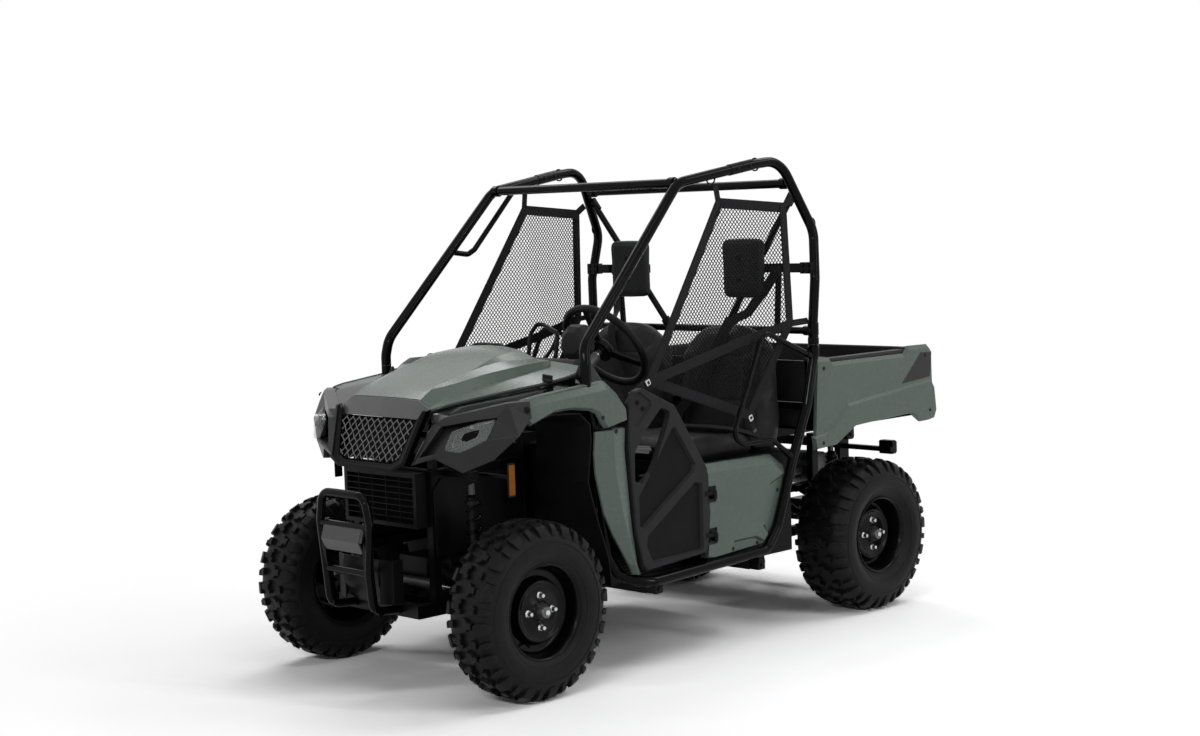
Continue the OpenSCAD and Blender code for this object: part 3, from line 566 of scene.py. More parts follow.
def lathe(profile, at, axis, sides=64, closed=True):
    """A profile of [radius, along] turned about an axis through at."""
    axis = unit(axis)
    u = axis.orthogonal().normalized()
    w = axis.cross(u)
    at = Vector(at)
    n = len(profile)
    verts, faces = [], []
    for k in range(sides):
        a = 2 * math.pi * k / sides
        d = u * math.cos(a) + w * math.sin(a)
        verts += [tuple(at + axis * x + d * r) for r, x in profile]
    for k in range(sides):
        b = (k + 1) % sides
        for i in range(n if closed else n - 1):
            j = (i + 1) % n
            faces.append([k * n + i, k * n + j, b * n + j, b * n + i])
    if not closed:
        faces.append([k * n for k in range(sides)])
        faces.append([k * n + n - 1 for k in range(sides)][::-1])
    return verts, faces


def rod(at, axis, r, start, end, sides=24):
    """A plain round bar along axis, from start to end measured from at."""
    return lathe([[0.01, start], [r, start], [r, end], [0.01, end]], at, axis, sides)


def collar(at, axis, r, proud_r, length, sides=28):
    """A sleeve round a tube, with its ends sloped down to the tube's radius r."""
    return lathe([[r, 0], [proud_r, 2], [proud_r, length - 2], [r, length]], at, axis, sides,
                 closed=False)


def along_x(outline, *stations):
    """A body with the same outline of [y, z] at each x."""
    return loft([[(x, y, z) for y, z in outline] for x in stations])


def along_y(outline, *stations):
    """A body with the same outline of [x, z] at each y."""
    return loft([[(x, y, z) for x, z in outline] for y in stations])


def along_z(outline, *stations):
    """A body with the same outline of [x, y] at each z."""
    return loft([[(x, y, z) for x, y in outline] for z in stations])


def oblong(x0, x1, z0, z1):
    """The outline of a rectangle in [x, z] or in any other two directions."""
    return [(x0, z0), (x1, z0), (x1, z1), (x0, z1)]


def sided(s, outline):
    """An outline whose first coordinate is across, on the side s, 1 or -1."""
    return [(s * x, v) for x, v in outline]


def bolt(at, axis, r=7, h=5, washer=True):
    """A hexagon head on a washer."""
    axis, at = unit(axis), Vector(at)
    parts = [lathe([[r, 0], [r, h * 0.8], [r * 0.82, h]], at, axis, 6, closed=False)]
    if washer:
        parts.append(lathe([[r * 1.45, -0.2], [r * 1.45, 1.0], [r * 1.3, 1.5]], at, axis, 22,
                           closed=False))
    return parts


def push_clip(at, axis, r=9):
    """The round head of a plastic rivet."""
    return [lathe([[r, 0], [r, 1.2], [r * 0.8, 2.6], [r * 0.35, 2.8]], at, axis, 20, closed=False),
            lathe([[r * 0.3, 2.0], [r * 0.3, 3.6]], at, axis, 12, closed=False)]


def coil(a, b, r, wire, turns, sides=8, steps=22):
    """A spring from a to b."""
    a, b = Vector(a), Vector(b)
    t = (b - a).normalized()
    u = t.orthogonal().normalized()
    w = t.cross(u)
    n = int(turns * steps)
    path = [a + (b - a) * (i / n) + (u * math.cos(2 * math.pi * i / steps)
            + w * math.sin(2 * math.pi * i / steps)) * r for i in range(n + 1)]
    return tube(path, wire, sides)


MOST_X, MOST_Z = 634.9, 1817.2


class Shape:
    """Vertices and faces, in millimetres, gathered before they become one piece."""

    def __init__(self):
        self.verts, self.faces, self.which, self.now = [], [], [], 0

    def add(self, *parts):
        for part in parts:
            for verts, faces in (part if isinstance(part, list) else [part]):
                n = len(self.verts)
                self.verts += [tuple(v) for v in verts]
                self.faces += [[i + n for i in f] for f in faces]
                self.which += [self.now] * len(faces)
        return self

    def use(self, k):
        """The parts added from now on get the piece's material k."""
        self.now = k
        return self

    def mirror(self):
        """Adds the mirror image on the other side of the vehicle."""
        n = len(self.verts)
        self.verts += [(-x, y, z) for x, y, z in self.verts]
        self.faces += [[i + n for i in f][::-1] for f in self.faces[:]]
        self.which += self.which[:]
        return self

    def flipped(self):
        """The mirror image alone."""
        other = Shape()
        other.verts = [(-x, y, z) for x, y, z in self.verts]
        other.faces = [f[::-1] for f in self.faces]
        other.which = list(self.which)
        return other

    def mapped(self, move):
        """Moves every vertex by a function of its coordinates."""
        self.verts = [tuple(move(*v)) for v in self.verts]
        return self

    def mesh(self, name, mats):
        """The mesh, kept within the construction's own width and height."""
        mesh = bpy.data.meshes.new(name)
        mesh.from_pydata([to_frame((max(-MOST_X, min(MOST_X, x)), y, min(MOST_Z, z)))
                          for x, y, z in self.verts], [], self.faces)
        for m in mats:
            mesh.materials.append(MATERIALS[m])
        mesh.polygons.foreach_set("material_index", self.which)
        mesh.validate()
        bm = bmesh.new()
        bm.from_mesh(mesh)
        bmesh.ops.recalc_face_normals(bm, faces=bm.faces)
        bm.to_mesh(mesh)
        bm.free()
        return mesh

    def piece(self, name, mats, body, slot, replaces=(), bevel=0.0, steps=2, angle=30, cut=()):
        """One finished piece that rides on its body."""
        obj = bpy.data.objects.new(name, self.mesh(name, mats))
        bpy.context.scene.collection.objects.link(obj)
        if cut:
            carve(obj, cut)
        finish(obj, bevel, steps, angle)
        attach(obj, body)
        if replaces:
            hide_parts(*replaces)
        return obj


def carve(obj, cutters):
    """Cuts each Shape out of the piece."""
    for k, shape in enumerate(cutters):
        tool = bpy.data.objects.new(f"tool_{k}", shape.mesh(f"tool_{k}", []))
        bpy.context.scene.collection.objects.link(tool)
        mod = obj.modifiers.new("cut", "BOOLEAN")
        mod.operation, mod.object, mod.solver = "DIFFERENCE", tool, "EXACT"
        mod.use_self = True
        apply_modifiers(obj)
        bpy.data.objects.remove(tool)


def apply_modifiers(obj):
    graph = bpy.context.evaluated_depsgraph_get()
    graph.update()
    made = bpy.data.meshes.new_from_object(obj.evaluated_get(graph))
    obj.modifiers.clear()
    old = obj.data
    obj.data = made
    made.name = old.name
    bpy.data.meshes.remove(old)


def finish(obj, bevel=0.0, steps=2, angle=30):
    """Rounds the hard edges and shades the rest smooth."""
    obj.data.shade_smooth()
    obj.data.set_sharp_from_angle(angle=math.radians(angle))
    if bevel:
        mod = obj.modifiers.new("edges", "BEVEL")
        mod.width, mod.segments = bevel / 1000, steps
        mod.limit_method, mod.angle_limit = "ANGLE", math.radians(angle)
        mod.use_clamp_overlap = True
        mod.harden_normals = False
        flat = obj.modifiers.new("flat", "WEIGHTED_NORMAL")
        flat.keep_sharp = False
        flat.mode = "FACE_AREA"


def keep(node, mat, bevel=0.0):
    """A CAD node that stays in view gets a material and softer edges."""
    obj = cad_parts[node]
    obj.data.materials.clear()
    obj.data.materials.append(MATERIALS[mat])
    if bevel:
        mod = obj.modifiers.new("edges", "BEVEL")
        mod.width, mod.segments = bevel / 1000, 2
        mod.limit_method, mod.angle_limit = "ANGLE", math.radians(40)


# ---- Wheels ----

# Half of the tread's section: [across from the middle, radius], for a tyre CROWN_WIDTH wide
CROWN_WIDTH = 203
CROWN = [(0, 289), (36, 288.5), (60, 286), (76, 280), (87, 269.5), (94, 256), (98.5, 241),
         (100.6, 224), (100.8, 205), (98, 188), (91, 174), (83, 164)]


def crown_normal(pts, k):
    """The direction square to the section at its point k."""
    d = pts[min(k + 1, len(pts) - 1)] - pts[max(k - 1, 0)]
    return Vector((-d.y, d.x)).normalized()


def along_crown(a, scale, rise):
    """The point of the section at distance a from the middle, raised by rise."""
    side = 1 if a >= 0 else -1
    left = abs(a)
    pts = [Vector((s * scale, r)) for s, r in CROWN]
    for i in range(len(pts) - 1):
        step = (pts[i + 1] - pts[i]).length
        if left <= step or i == len(pts) - 2:
            f = left / step
            p = pts[i].lerp(pts[i + 1], f)
            n = crown_normal(pts, i).lerp(crown_normal(pts, i + 1), f).normalized()
            if n.y < 0 and i < 4:
                n = -n
            if n.x < 0:
                n = -n
            p = p + n * rise
            return side * p.x, p.y
        left -= step
    return 0, 289


def lug(at, turn, side, scale, stations, centre_x, reach):
    """A tread block. A station is [distance from the middle, u0, u1, height]."""
    rings = []
    for a, u0, u1, h in stations:
        ring = []
        slope = min(3.2, h * 0.25)
        for u, rise in ((u0, -3), (u0 + slope * 0.5, h - 1.6), (u0 + slope, h),
                        (u1 - slope, h), (u1 - slope * 0.5, h - 1.6), (u1, -3)):
            x, r = along_crown(a * scale * side, scale, rise)
            r = min(r, reach)
            angle = turn + u * 1.3 / 297
            ring.append((centre_x + x, at[0] + r * math.cos(angle), at[1] + r * math.sin(angle)))
        rings.append(ring)
    return loft(rings)


def tyre_shape(y, width, lip_r, count):
    """The carcass, the raised rings on its sidewalls and the tread blocks."""
    at = (y, AXLE_Z)
    mid = HALF_W - width / 2
    scale = width / CROWN_WIDTH
    half = [(r, s * scale) for s, r in CROWN]
    ring = ([(r, mid - s) for r, s in half[::-1]] + [(r, mid + s) for r, s in half[1:]])
    inner = [(lip_r - 4, mid + 76 * scale), (lip_r + 14, mid + 70 * scale),
             (lip_r + 40, mid + 82 * scale), (250, mid + 84 * scale), (270, mid + 60 * scale),
             (270, mid - 60 * scale), (250, mid - 84 * scale), (lip_r + 40, mid - 82 * scale),
             (lip_r + 14, mid - 70 * scale), (lip_r - 4, mid - 76 * scale)]
    tyre = Shape().add(lathe(ring + inner, (0, y, AXLE_Z), (1, 0, 0), 120))
    # Raised rings on the sidewalls
    for s in (1, -1):
        for r0, w, h in ((238, 3.2, 1.4), (186, 2.6, 1.0)):
            x, r = 0, 0
            for a in range(60, 190):
                x, r = along_crown(a * scale, scale, 0)
                if r <= r0:
                    break
            edge = mid + s * x
            tyre.add(lathe([(r0 - w, edge - s * 3), (r0 - w * 0.6, edge + s * h),
                            (r0 + w * 0.6, edge + s * h), (r0 + w, edge - s * 3)],
                           (0, y, AXLE_Z), (1, 0, 0), 120))
    pitch = 2 * math.pi / count
    for k in range(count):
        for side in (1, -1):
            t = k * pitch + (0 if side > 0 else pitch / 2)
            args = (side, scale)
            # Hammer-shaped block with a notch in its head, next to the middle
            for u in (-19, 6):
                tyre.add(lug(at, t, *args, [(3, u, u + 13, 15.4), (13, u, u + 13, 15.6)],
                             mid, AXLE_Z))
            tyre.add(lug(at, t, *args, [(11, -20, 20, 15.6), (24, -17, 17, 15.8),
                     (29, -9, 11, 15.9), (47, -8, 10, 15.9)], mid, AXLE_Z))
            # Shoulder block that runs on to the sidewall
            tyre.add(lug(at, t + 0.10 * pitch, *args, [(56, -12, 15, 15.8), (64, -17, 18, 16),
                     (78, -18, 19, 15), (92, -16, 17, 11), (103, -12, 13, 6),
                     (110, -9, 10, 2.4)], mid, AXLE_Z))
            # Small block between two of them
            tyre.add(lug(at, t + 0.56 * pitch, *args, [(38, -12, 8, 15.9), (52, -13, 10, 16),
                     (58, -9, 9, 16)], mid, AXLE_Z))
            tyre.add(lug(at, t + 0.60 * pitch, *args, [(72, -9, 10, 15.5), (86, -10, 11, 12.5),
                     (98, -8, 9, 7.5), (106, -6, 7, 2.6)], mid, AXLE_Z))
    return tyre


def rim_shape(y, width, rim_r, lip_r, face, lip, disc_r):
    """The pressed disc and the rim's two lips, turned as one section."""
    mid = HALF_W - width / 2
    inside = mid - width / 2
    barrel = face - 34
    profile = [(lip_r - 3, lip - 12), (lip_r + 1, lip - 9), (lip_r + 2.5, lip - 3),
               (lip_r + 1, lip), (lip_r - 3, lip + 1), (lip_r - 7, lip - 1),
               (lip_r - 10, lip - 7), (lip_r - 13, lip - 14), (lip_r - 15, lip - 22),
               (lip_r - 18, barrel + 10), (lip_r - 23, barrel + 1), (lip_r - 31, barrel - 3),
               (disc_r + 16, barrel - 2), (disc_r + 9, barrel + 6), (disc_r + 4, face - 9),
               (disc_r + 2, face - 2), (disc_r - 1, face), (disc_r - 5, face - 1),
               (disc_r - 9, face - 5), (disc_r - 16, face - 8), (74, face - 8), (70, face - 6),
               (40, face - 6), (36, face - 3), (33, face + 4), (30, face + 6), (24, face + 6),
               (24, face - 60), (44, face - 60), (48, face - 16), (disc_r - 8, face - 15),
               (disc_r + 6, barrel - 8), (lip_r - 32, barrel - 11), (lip_r - 22, barrel - 5),
               (rim_r - 5, barrel + 12), (rim_r - 5, inside + 34),
               (rim_r - 1, inside + 24), (lip_r - 3, inside + 20),
               (lip_r, inside + 17), (lip_r + 2, inside + 20),
               (lip_r, inside + 24), (rim_r + 4, inside + 30),
               (rim_r + 1, inside + 40), (rim_r + 1, lip - 30),
               (rim_r + 4, lip - 20)]
    return Shape().add(lathe(profile, (0, y, AXLE_Z), (1, 0, 0), 96))


def nut_shape(y, face, disc_r):
    """Four wheel nuts, the hub cap and the valve stem."""
    barrel = face - 34
    nuts = Shape()
    for k in range(4):
        a = k * math.pi / 2
        p = (face - 7, y + 55 * math.cos(a), AXLE_Z + 55 * math.sin(a))
        nuts.use(0).add(lathe([[13, 0], [13, 2], [9.5, 6]], p, (1, 0, 0), 24, closed=False))
        nuts.add(lathe([[9, 4], [9, 17], [7, 20], [3, 21]], p, (1, 0, 0), 6, closed=False))
    nuts.use(1).add(lathe([[27, 0], [27, 4], [24, 9], [22, 22], [19, 26], [8, 27]],
                          (face + 2, y, AXLE_Z), (1, 0, 0), 40, closed=False))
    nuts.use(0).add(lathe([[11, 0], [11, 8], [9, 10]], (face + 24, y, AXLE_Z), (1, 0, 0), 6,
                          closed=False))
    stem = (barrel + 2, y - (disc_r + 14) * 0.42, AXLE_Z - (disc_r + 14) * 0.90)
    nuts.use(2).add(tube([stem, (barrel + 20, stem[1] - 4, stem[2] - 6),
                          (barrel + 34, stem[1] - 6, stem[2] - 9)], 4.2, 12))
    return nuts


def wheel(corner_name, y, width, rim_r, lip_r, face, lip_x, disc_r, count):
    """A pair of wheels: the right one is the mirror image of the left one."""
    kinds = ((tyre_shape(y, width, lip_r, count), "tyre_tread", ["tyre"], "tyre", "tyre"),
             (rim_shape(y, width, rim_r, lip_r, face, lip_x, disc_r), "rim_disc", ["rim"],
              "wheel_steel", "rim"),
             (nut_shape(y, face, disc_r), "wheel_nuts", ["steel", "cap", "rubber"],
              "bright_steel", None))
    for side_name in ("left", "right"):
        end = f"{corner_name}_{side_name}"
        for shape, kind, mats, slot, stands in kinds:
            own = shape if side_name == "left" else shape.flipped()
            own.piece(f"{end}_{kind}", mats, f"{end}_wheel", slot,
                      [f"{end}_{stands}"] if stands else (),
                      angle=28 if kind == "tyre_tread" else 40)


# ---- Frame and cage ----

FOOT = (547, -636, 1073)
HOOP_FOOT = (600, 541, 1098)
SILL = [FOOT, (547, -636, 1030), (540, -600, 900), (532, -545, 430), (532, -490, 352),
        (585, -425, 324), (600, -380, 321), (600, 234, 343), (600, 300, 422), (600, 401, 673),
        (600, 491, 864), (600, 541, 1060), HOOP_FOOT]
HIP_LOOP = [(600, 536, 1050), (600, 247, 1168), (600, 61, 791), (600, 119, 755), (600, 286, 754),
            (600, 401, 673)]
HOOP = [(547, -636, 1073.6), (547, -636, 1110), (537, -627, 1172), (503, -96, 1727),
        (533, 283, 1790), (545, 430, 1806), (586, 574, 1531), (609, 548, 1350), (600, 541, 1180),
        (600, 541, 1098.6)]
ROOF_FRONT = (503, -96, 1727)
ROOF_REAR = (545, 484, 1717)
BRACE = [(545, 505, 1675), (150, 541, 1150)]
PAD_Z = 1392


def crossbolt(p, axis, r, half):
    """A bolt through a tube at p: its head and nut stand half out from the middle."""
    p, axis = Vector(p), unit(axis)
    return bolt(p + axis * half, axis, r, 5) + bolt(p - axis * half, -axis, r, 5)


def roof_coupler():
    """The middle of the coupler in the roof tube, and the way along the tube there."""
    top = Vector((533, 283, 1790))
    ahead = (Vector(ROOF_FRONT) - top).normalized()
    return top + ahead * 62, ahead


def make_cage():
    """The hoops, the cross tubes, the braces and the head pads' bars, with their fittings."""
    cage = Shape()
    cage.add(tube(bent(HOOP, 110, 9), 19, 22))
    # Couplers where the hoop meets the sill tubes, and at the roof
    cage.add(lathe([[19, 0], [21.6, 2], [21.6, 24], [20, 26], [20, 34], [21.6, 36], [21.6, 82],
                    [19, 84]], (600, 541, 1099), (0, 0.0, 1), 28, closed=False))
    start, ahead = roof_coupler()
    cage.add(lathe([[19, 0], [21.4, 1.5], [21.4, 58], [20, 59.5], [20, 62], [21.4, 63.5],
                    [21.4, 120], [19, 121.5]], start - ahead * 60, ahead, 28, closed=False))
    cage.add(tube(BRACE, 13, 18))
    cage.add(tube([(436, 541, PAD_Z), (421, 541, 1150)], 12.5, 18))
    cage.add(plate(rounded(oblong(529, 541, PAD_Z - 18, PAD_Z + 18), 3), 255, 598))
    # Brackets at the ends of the braces and of the pad bar
    for p, q in (BRACE, BRACE[::-1]):
        p, q = Vector(p), Vector(q)
        t = (q - p).normalized()
        side = Vector((0, 1, 0))
        side = (side - t * side.dot(t)).normalized()
        up = t.cross(side)
        cage.add(loft([[p + t * d + side * a + up * b for a, b in oblong(-8, 8, -17, 17)]
                       for d in (-10, 46)]))
        cage.add(bolt(p + t * 20 - side * 8, -side, 8, 6))
    cage.add(along_z(oblong(556, 612, 524, 560), PAD_Z - 22, PAD_Z + 22))
    for z in (-11, 11):
        for x in (570, 598):
            cage.add(bolt((x, 524, PAD_Z + z), (0, -1, 0), 6, 5))
    # Pad mounts with two bolts each
    cage.add(block((262, 503, 1377), (352, 530, 1407)))
    for x in (280, 334):
        cage.add(bolt((x, 542, PAD_Z), (0, 1, 0), 7, 6))
    # Net hooks at the top corners
    for p in ((523, 62, 1742), (534, 300, 1790), (587, 560, 1560), (600, 541, 1196)):
        cage.add(coil_ring(p, 23, 3.2))
    cage.mirror()
    for x, y, z in (ROOF_FRONT, ROOF_REAR):
        cage.add(tube([(-x, y, z), (x, y, z)], 17, 20))
    cage.add(tube([(-600, 541, 1150), (600, 541, 1150)], 14, 20))
    cage.add(tube(bent([(-518, -318, 1494), (-508, -236, 1482), (-508, -200, 1500),
                        (-512, 25, 1730)], 30), 11, 16))
    # Saddles that hold the cross tubes to the hoop
    for x, y, z, r in ((492, -96, 1727, 20), (532, 484, 1717, 20), (585, 541, 1150, 17)):
        for s in (1, -1):
            cage.add(collar((s * x, y, z), (-s, 0, 0), r, r + 2, 28, 26))
    cage.piece("cage_tubes", ["gloss"], "chassis", "gloss_black", ["roll_cage"], angle=32)


def make_cage_bolts():
    """Bolts through the couplers."""
    start, ahead = roof_coupler()
    bolts = Shape()
    for z in (1112, 1150):
        bolts.add(*crossbolt((600, 541, z), (0, 1, 0), 7, 21))
    for d in (-32, 30):
        p = start + ahead * d
        bolts.add(*crossbolt(p, (1, 0, 0), 6.5, 21))
    bolts.mirror()
    bolts.piece("cage_bolts", ["satin"], "chassis", "gloss_black", angle=30)


def coil_ring(p, r, wire):
    """A ring of wire round the X axis, for a net hook."""
    pts = [Vector(p) + Vector((0, math.cos(a) * r, math.sin(a) * r))
           for a in (2 * math.pi * k / 20 for k in range(21))]
    return tube(pts, wire, 8)


def make_sills():
    """The tubes under the doors that run up to the hoop, and the loops round the hips."""
    rails = Shape()
    rails.add(tube(bent(SILL, 60, 9), 19, 22))
    rails.add(tube(bent(HIP_LOOP, 45, 8), 10, 16))
    # Gussets and ends of the outriggers
    for y in (-380, 180):
        rails.add(block((555.5, y + 1, 274), (602, y + 39, 311)))
        rails.add(loft([[(x, v, 300) for x, v in oblong(576, 604, y, y + 40)],
                        [(x, v, 326) for x, v in oblong(582, 602, y + 6, y + 34)]]))
        rails.add(bolt((602, y + 20, 292), (1, 0, 0), 8, 6))
    rails.add(block((535, -590, 790), (575.5, -560, 815)))
    # Clamps that join the hip loop to the sill tube
    for p, q in (((600, 536, 1050), (600, 247, 1168)), ((600, 401, 673), (600, 286, 754))):
        p, q = Vector(p), Vector(q)
        t = (q - p).normalized()
        rails.add(collar(p + t * 14, t, 10, 13.5, 28, 20))
    rails.add(collar((600, 541, 1050), (0, 0, 1), 19, 21.6, 42))
    rails.mirror()
    rails.add(tube([(-600, 491, 864), (600, 491, 864)], 16, 20))
    rails.piece("sill_tubes", ["gloss"], "chassis", "gloss_black", ["sill_rails"], angle=32)


def make_guard():
    """The tube loop ahead of the radiator, with its brackets and its plate."""
    half = [(119, -1148.5, 292), (119, -1262, 300), (119, -1274, 431), (138, -1277, 596),
            (118, -1280, 699)]
    loop = bent(half + [(-x, y, z) for x, y, z in half[::-1]], 45, 9)
    guard = Shape()
    guard.add(tube(loop, 15, 22))
    guard.add(tube([(-119, -1272, 431), (119, -1272, 431)], 12, 18))
    guard.add(tube([(-130, -1277, 590), (130, -1277, 590)], 12, 18))
    for s in (1, -1):
        guard.add(loft([[(s * x, y, z) for x, y, z in ring] for ring in (
            [(100, -1262, 300), (134, -1262, 300), (134, -1250, 300), (100, -1250, 300)],
            [(102, -1286, 470), (126, -1286, 470), (126, -1262, 470), (102, -1262, 470)],
            [(104, -1292, 560), (118, -1292, 560), (118, -1266, 560), (104, -1266, 560)])]))
        guard.add(bolt((s * 134, -1240, 292), (s, 0, 0), 8, 6))
    guard.piece("guard_loop", ["gloss"], "chassis", "gloss_black", ["brush_guard"], angle=32)
    # Plate between the side brackets, with its folded top edge
    face = Shape()
    line = [(-1281, 590), (-1288, 586), (-1304, 540), (-1300, 533), (-1284, 500)]
    back = [(y + 5, z + 2) for y, z in line]
    face.add(plate(line + back[::-1], -104, 104))
    for s in (1, -1):
        face.add(loft([[(s * x, y, z) for x, y, z in ring] for ring in (
            [(103, -1302, 540), (110, -1296, 540), (110, -1262, 540), (103, -1262, 540)],
            [(103, -1287, 584), (112, -1285, 584), (112, -1262, 584), (103, -1262, 584)],
            [(103, -1281, 606), (110, -1280, 606), (110, -1264, 606), (103, -1264, 606)])]))
    face.piece("guard_plate", ["plate"], "chassis", "frame_paint", bevel=1.5)


# ---- Hood, fenders and nose ----

# Lines from the front edge to the rear edge: middle, plateau, crease, facet, band, face, edge
HOOD_LINES = [
    [(0, -1080, 1016), (0, -1042, 1035), (0, -930, 1074), (0, -834, 1107), (0, -720, 1143),
     (0, -650, 1156), (0, -589, 1161)],
    [(88, -1079, 1015.5), (88, -1042, 1034.5), (94, -930, 1073), (98, -834, 1106), (98, -720, 1141),
     (95, -650, 1153), (92, -589, 1157)],
    [(156, -1077, 1014), (156, -1040, 1032), (176, -935, 1068), (189, -836, 1096),
     (180, -735, 1129), (171, -652, 1142), (163, -589, 1147)],
    [(164, -1076.5, 1014), (162, -1039, 1031.5), (179, -934, 1067.5), (191, -834, 1095.5),
     (209, -735, 1115), (230, -652, 1117), (246, -589, 1118)],
    [(186, -1074, 1012), (182, -1024, 1041), (216, -926, 1060), (246, -834, 1081),
     (276, -735, 1097), (301, -656, 1108), (322, -589, 1114)],
    [(232, -1074, 985), (222, -1004, 1009), (246, -913, 1031), (270, -824, 1051),
     (294, -727, 1071), (312, -656, 1084), (324, -604, 1093)],
    [(240, -1076, 982), (251, -1004, 995), (300, -905, 1013), (350, -812, 1030),
     (412, -722, 1048), (456, -660, 1064), (480, -618, 1078)],
]
HOOD_REAR = [(0, -586, 1159), (92, -586, 1155), (163, -586, 1145), (246, -586, 1117),
             (321, -587, 1114), (330, -588, 1112), (464, -588, 1100)]


def spline(points, f):
    """The point at f, from 0 to 1, on a smooth curve through the points."""
    pts = [Vector(p) for p in points]
    n = len(pts) - 1
    s = min(max(f, 0), 1) * n
    i = min(int(s), n - 1)
    t = s - i
    p0 = pts[i - 1] if i else pts[0] * 2 - pts[1]
    p3 = pts[i + 2] if i + 2 <= n else pts[n] * 2 - pts[n - 1]
    p1, p2 = pts[i], pts[i + 1]
    return 0.5 * (2 * p1 + (p2 - p0) * t + (2 * p0 - 5 * p1 + 4 * p2 - p3) * t * t
                  + (3 * p1 - p0 - 3 * p2 + p3) * t ** 3)


def shell(rows, thick):
    """A closed sheet: a grid of points above, and the same moved down by thick below."""
    m, n = len(rows), len(rows[0])
    upper = [tuple(p) for r in rows for p in r]
    lower = [(x, y, z - thick) for x, y, z in upper]
    k = m * n
    faces = []
    for i in range(m - 1):
        for j in range(n - 1):
            a = i * n + j
            faces += [[a, a + 1, a + n + 1, a + n], [a + k, a + n + k, a + n + 1 + k, a + 1 + k]]
    edge = ([j for j in range(n)] + [i * n + n - 1 for i in range(1, m)]
            + [(m - 1) * n + j for j in range(n - 2, -1, -1)] + [i * n for i in range(m - 2, 0, -1)])
    for a, b in zip(edge, edge[1:] + edge[:1]):
        faces.append([a, a + k, b + k, b])
    return upper + lower, faces


def make_hood():
    """The raised hood, lofted through HOOD_LINES and mirrored, as one sheet."""
    steps = 16
    rows = [[Vector(line[0]) for line in HOOD_LINES]]
    for i in range(steps + 1):
        rows.append([spline(line[1:], i / steps) for line in HOOD_LINES])
    rows.append([Vector(p) for p in HOOD_REAR])
    full = [[Vector((-p.x, p.y, p.z)) for p in r[:0:-1]] + r for r in rows]
    hood = Shape().add(shell(full, 6))
    hood.piece("hood_skin", ["green"], "hood", "green_paint", ["hood"], bevel=1.8, steps=2,
               angle=8)


def make_hood_knobs():
    """Quarter-turn knobs that hold the hood's rear corners."""
    trim = Shape()
    at = Vector((423, -700, 1058))
    up = unit((0.35, -0.2, 1))
    trim.add(lathe([[19, -2], [19, 4], [16, 7], [12, 8]], at, up, 28, closed=False))
    side = unit(Vector((0.86, 0.5, 0)) - up * Vector((0.86, 0.5, 0)).dot(up))
    ahead = up.cross(side)
    trim.add(loft([[at + side * a + ahead * b + up * h for a, b in
                    ((-17, -w), (17, -w), (19, 0), (17, w), (-17, w), (-19, 0))]
                   for h, w in ((5, 6), (16, 5), (19, 3.5))]))
    trim.mirror()
    trim.piece("hood_knobs", ["plastic"], "hood", "black_plastic", bevel=1.2)


def make_hood_lip():
    """The black lip under the hood's edge."""
    lip = Shape()
    top = [spline(HOOD_LINES[-1], i / 18) for i in range(19)]
    lip.add(loft([[p + Vector((x, 0, z)) for x, z in ((-3, -6), (2.2, -5.5), (3, -12), (-3, -12))]
                  for p in top]))
    lip.mirror()
    lip.piece("hood_lip", ["plastic"], "hood", "black_plastic", bevel=0.8)


def flare(x_in, y):
    """Half width of the fender's outer face at a station, less what x_in takes inwards."""
    slope = 38 / 340
    return min(600, 562 + (y + 940) * slope) + x_in


def make_fenders():
    """The fender over the wheel: its outer face with chamfered edges, and its top shelf."""
    upper = Shape()
    outline = [(-900, 1016), (-860, 1024), (-583, 1051), (-562, 1046), (-514, 1001),
               (-493, 966), (-489, 905), (-589, 886), (-604, 903), (-626, 940), (-650, 952),
               (-730, 963), (-800, 960), (-905, 924), (-925, 950), (-917, 992)]
    edge = [26, 34, 30, 26, 12, 3, 3, 8, 10, 10, 10, 10, 10, 3, 3, 8]
    upper.add(plate(outline, -23, 0, edge, deep=16))
    # Top shelf, turned inwards
    rings = []
    for y, z in ((-900, 1014), (-860, 1022), (-760, 1032), (-660, 1042), (-566, 1048)):
        rings.append([(-14, y, z), (-10, y, z - 5), (-82, y, z - 16), (-82, y, z - 10)])
    upper.add(loft(rings))
    # The outer face leans inwards towards its top
    upper.mapped(lambda x, y, z: (flare(x, y) - 0.20 * max(0.0, z - 940), y, z))
    upper.mirror()
    upper.piece("fender_tops", ["green"], "chassis", "green_paint", ["front_fenders"], bevel=3,
                steps=3, angle=14)


def make_fender_legs():
    """The lower part of the fender, behind the wheel, with a ridge down its middle."""
    leg = Shape()
    rows = [[(-627, 877), (-562, 878), (-490, 879)], [(-634, 800), (-560, 806), (-496, 806)],
            [(-631, 730), (-556, 735), (-490, 735)], [(-600, 590), (-528, 590), (-478, 590)],
            [(-560, 510), (-503, 505), (-469, 505)], [(-487, 396), (-468, 392), (-450, 388)],
            [(-466, 356), (-456, 355), (-434, 354)]]
    front = [[(-20, *r[0]), (0, *r[1]), (-13, *r[2]), (-34, *r[2]), (-30, *r[0])] for r in rows]
    leg.add(loft(front))
    leg.mapped(lambda x, y, z: (flare(x, y), y, z))
    leg.mirror()
    leg.piece("fender_legs", ["green"], "chassis", "green_paint", bevel=2.5, steps=3, angle=14)


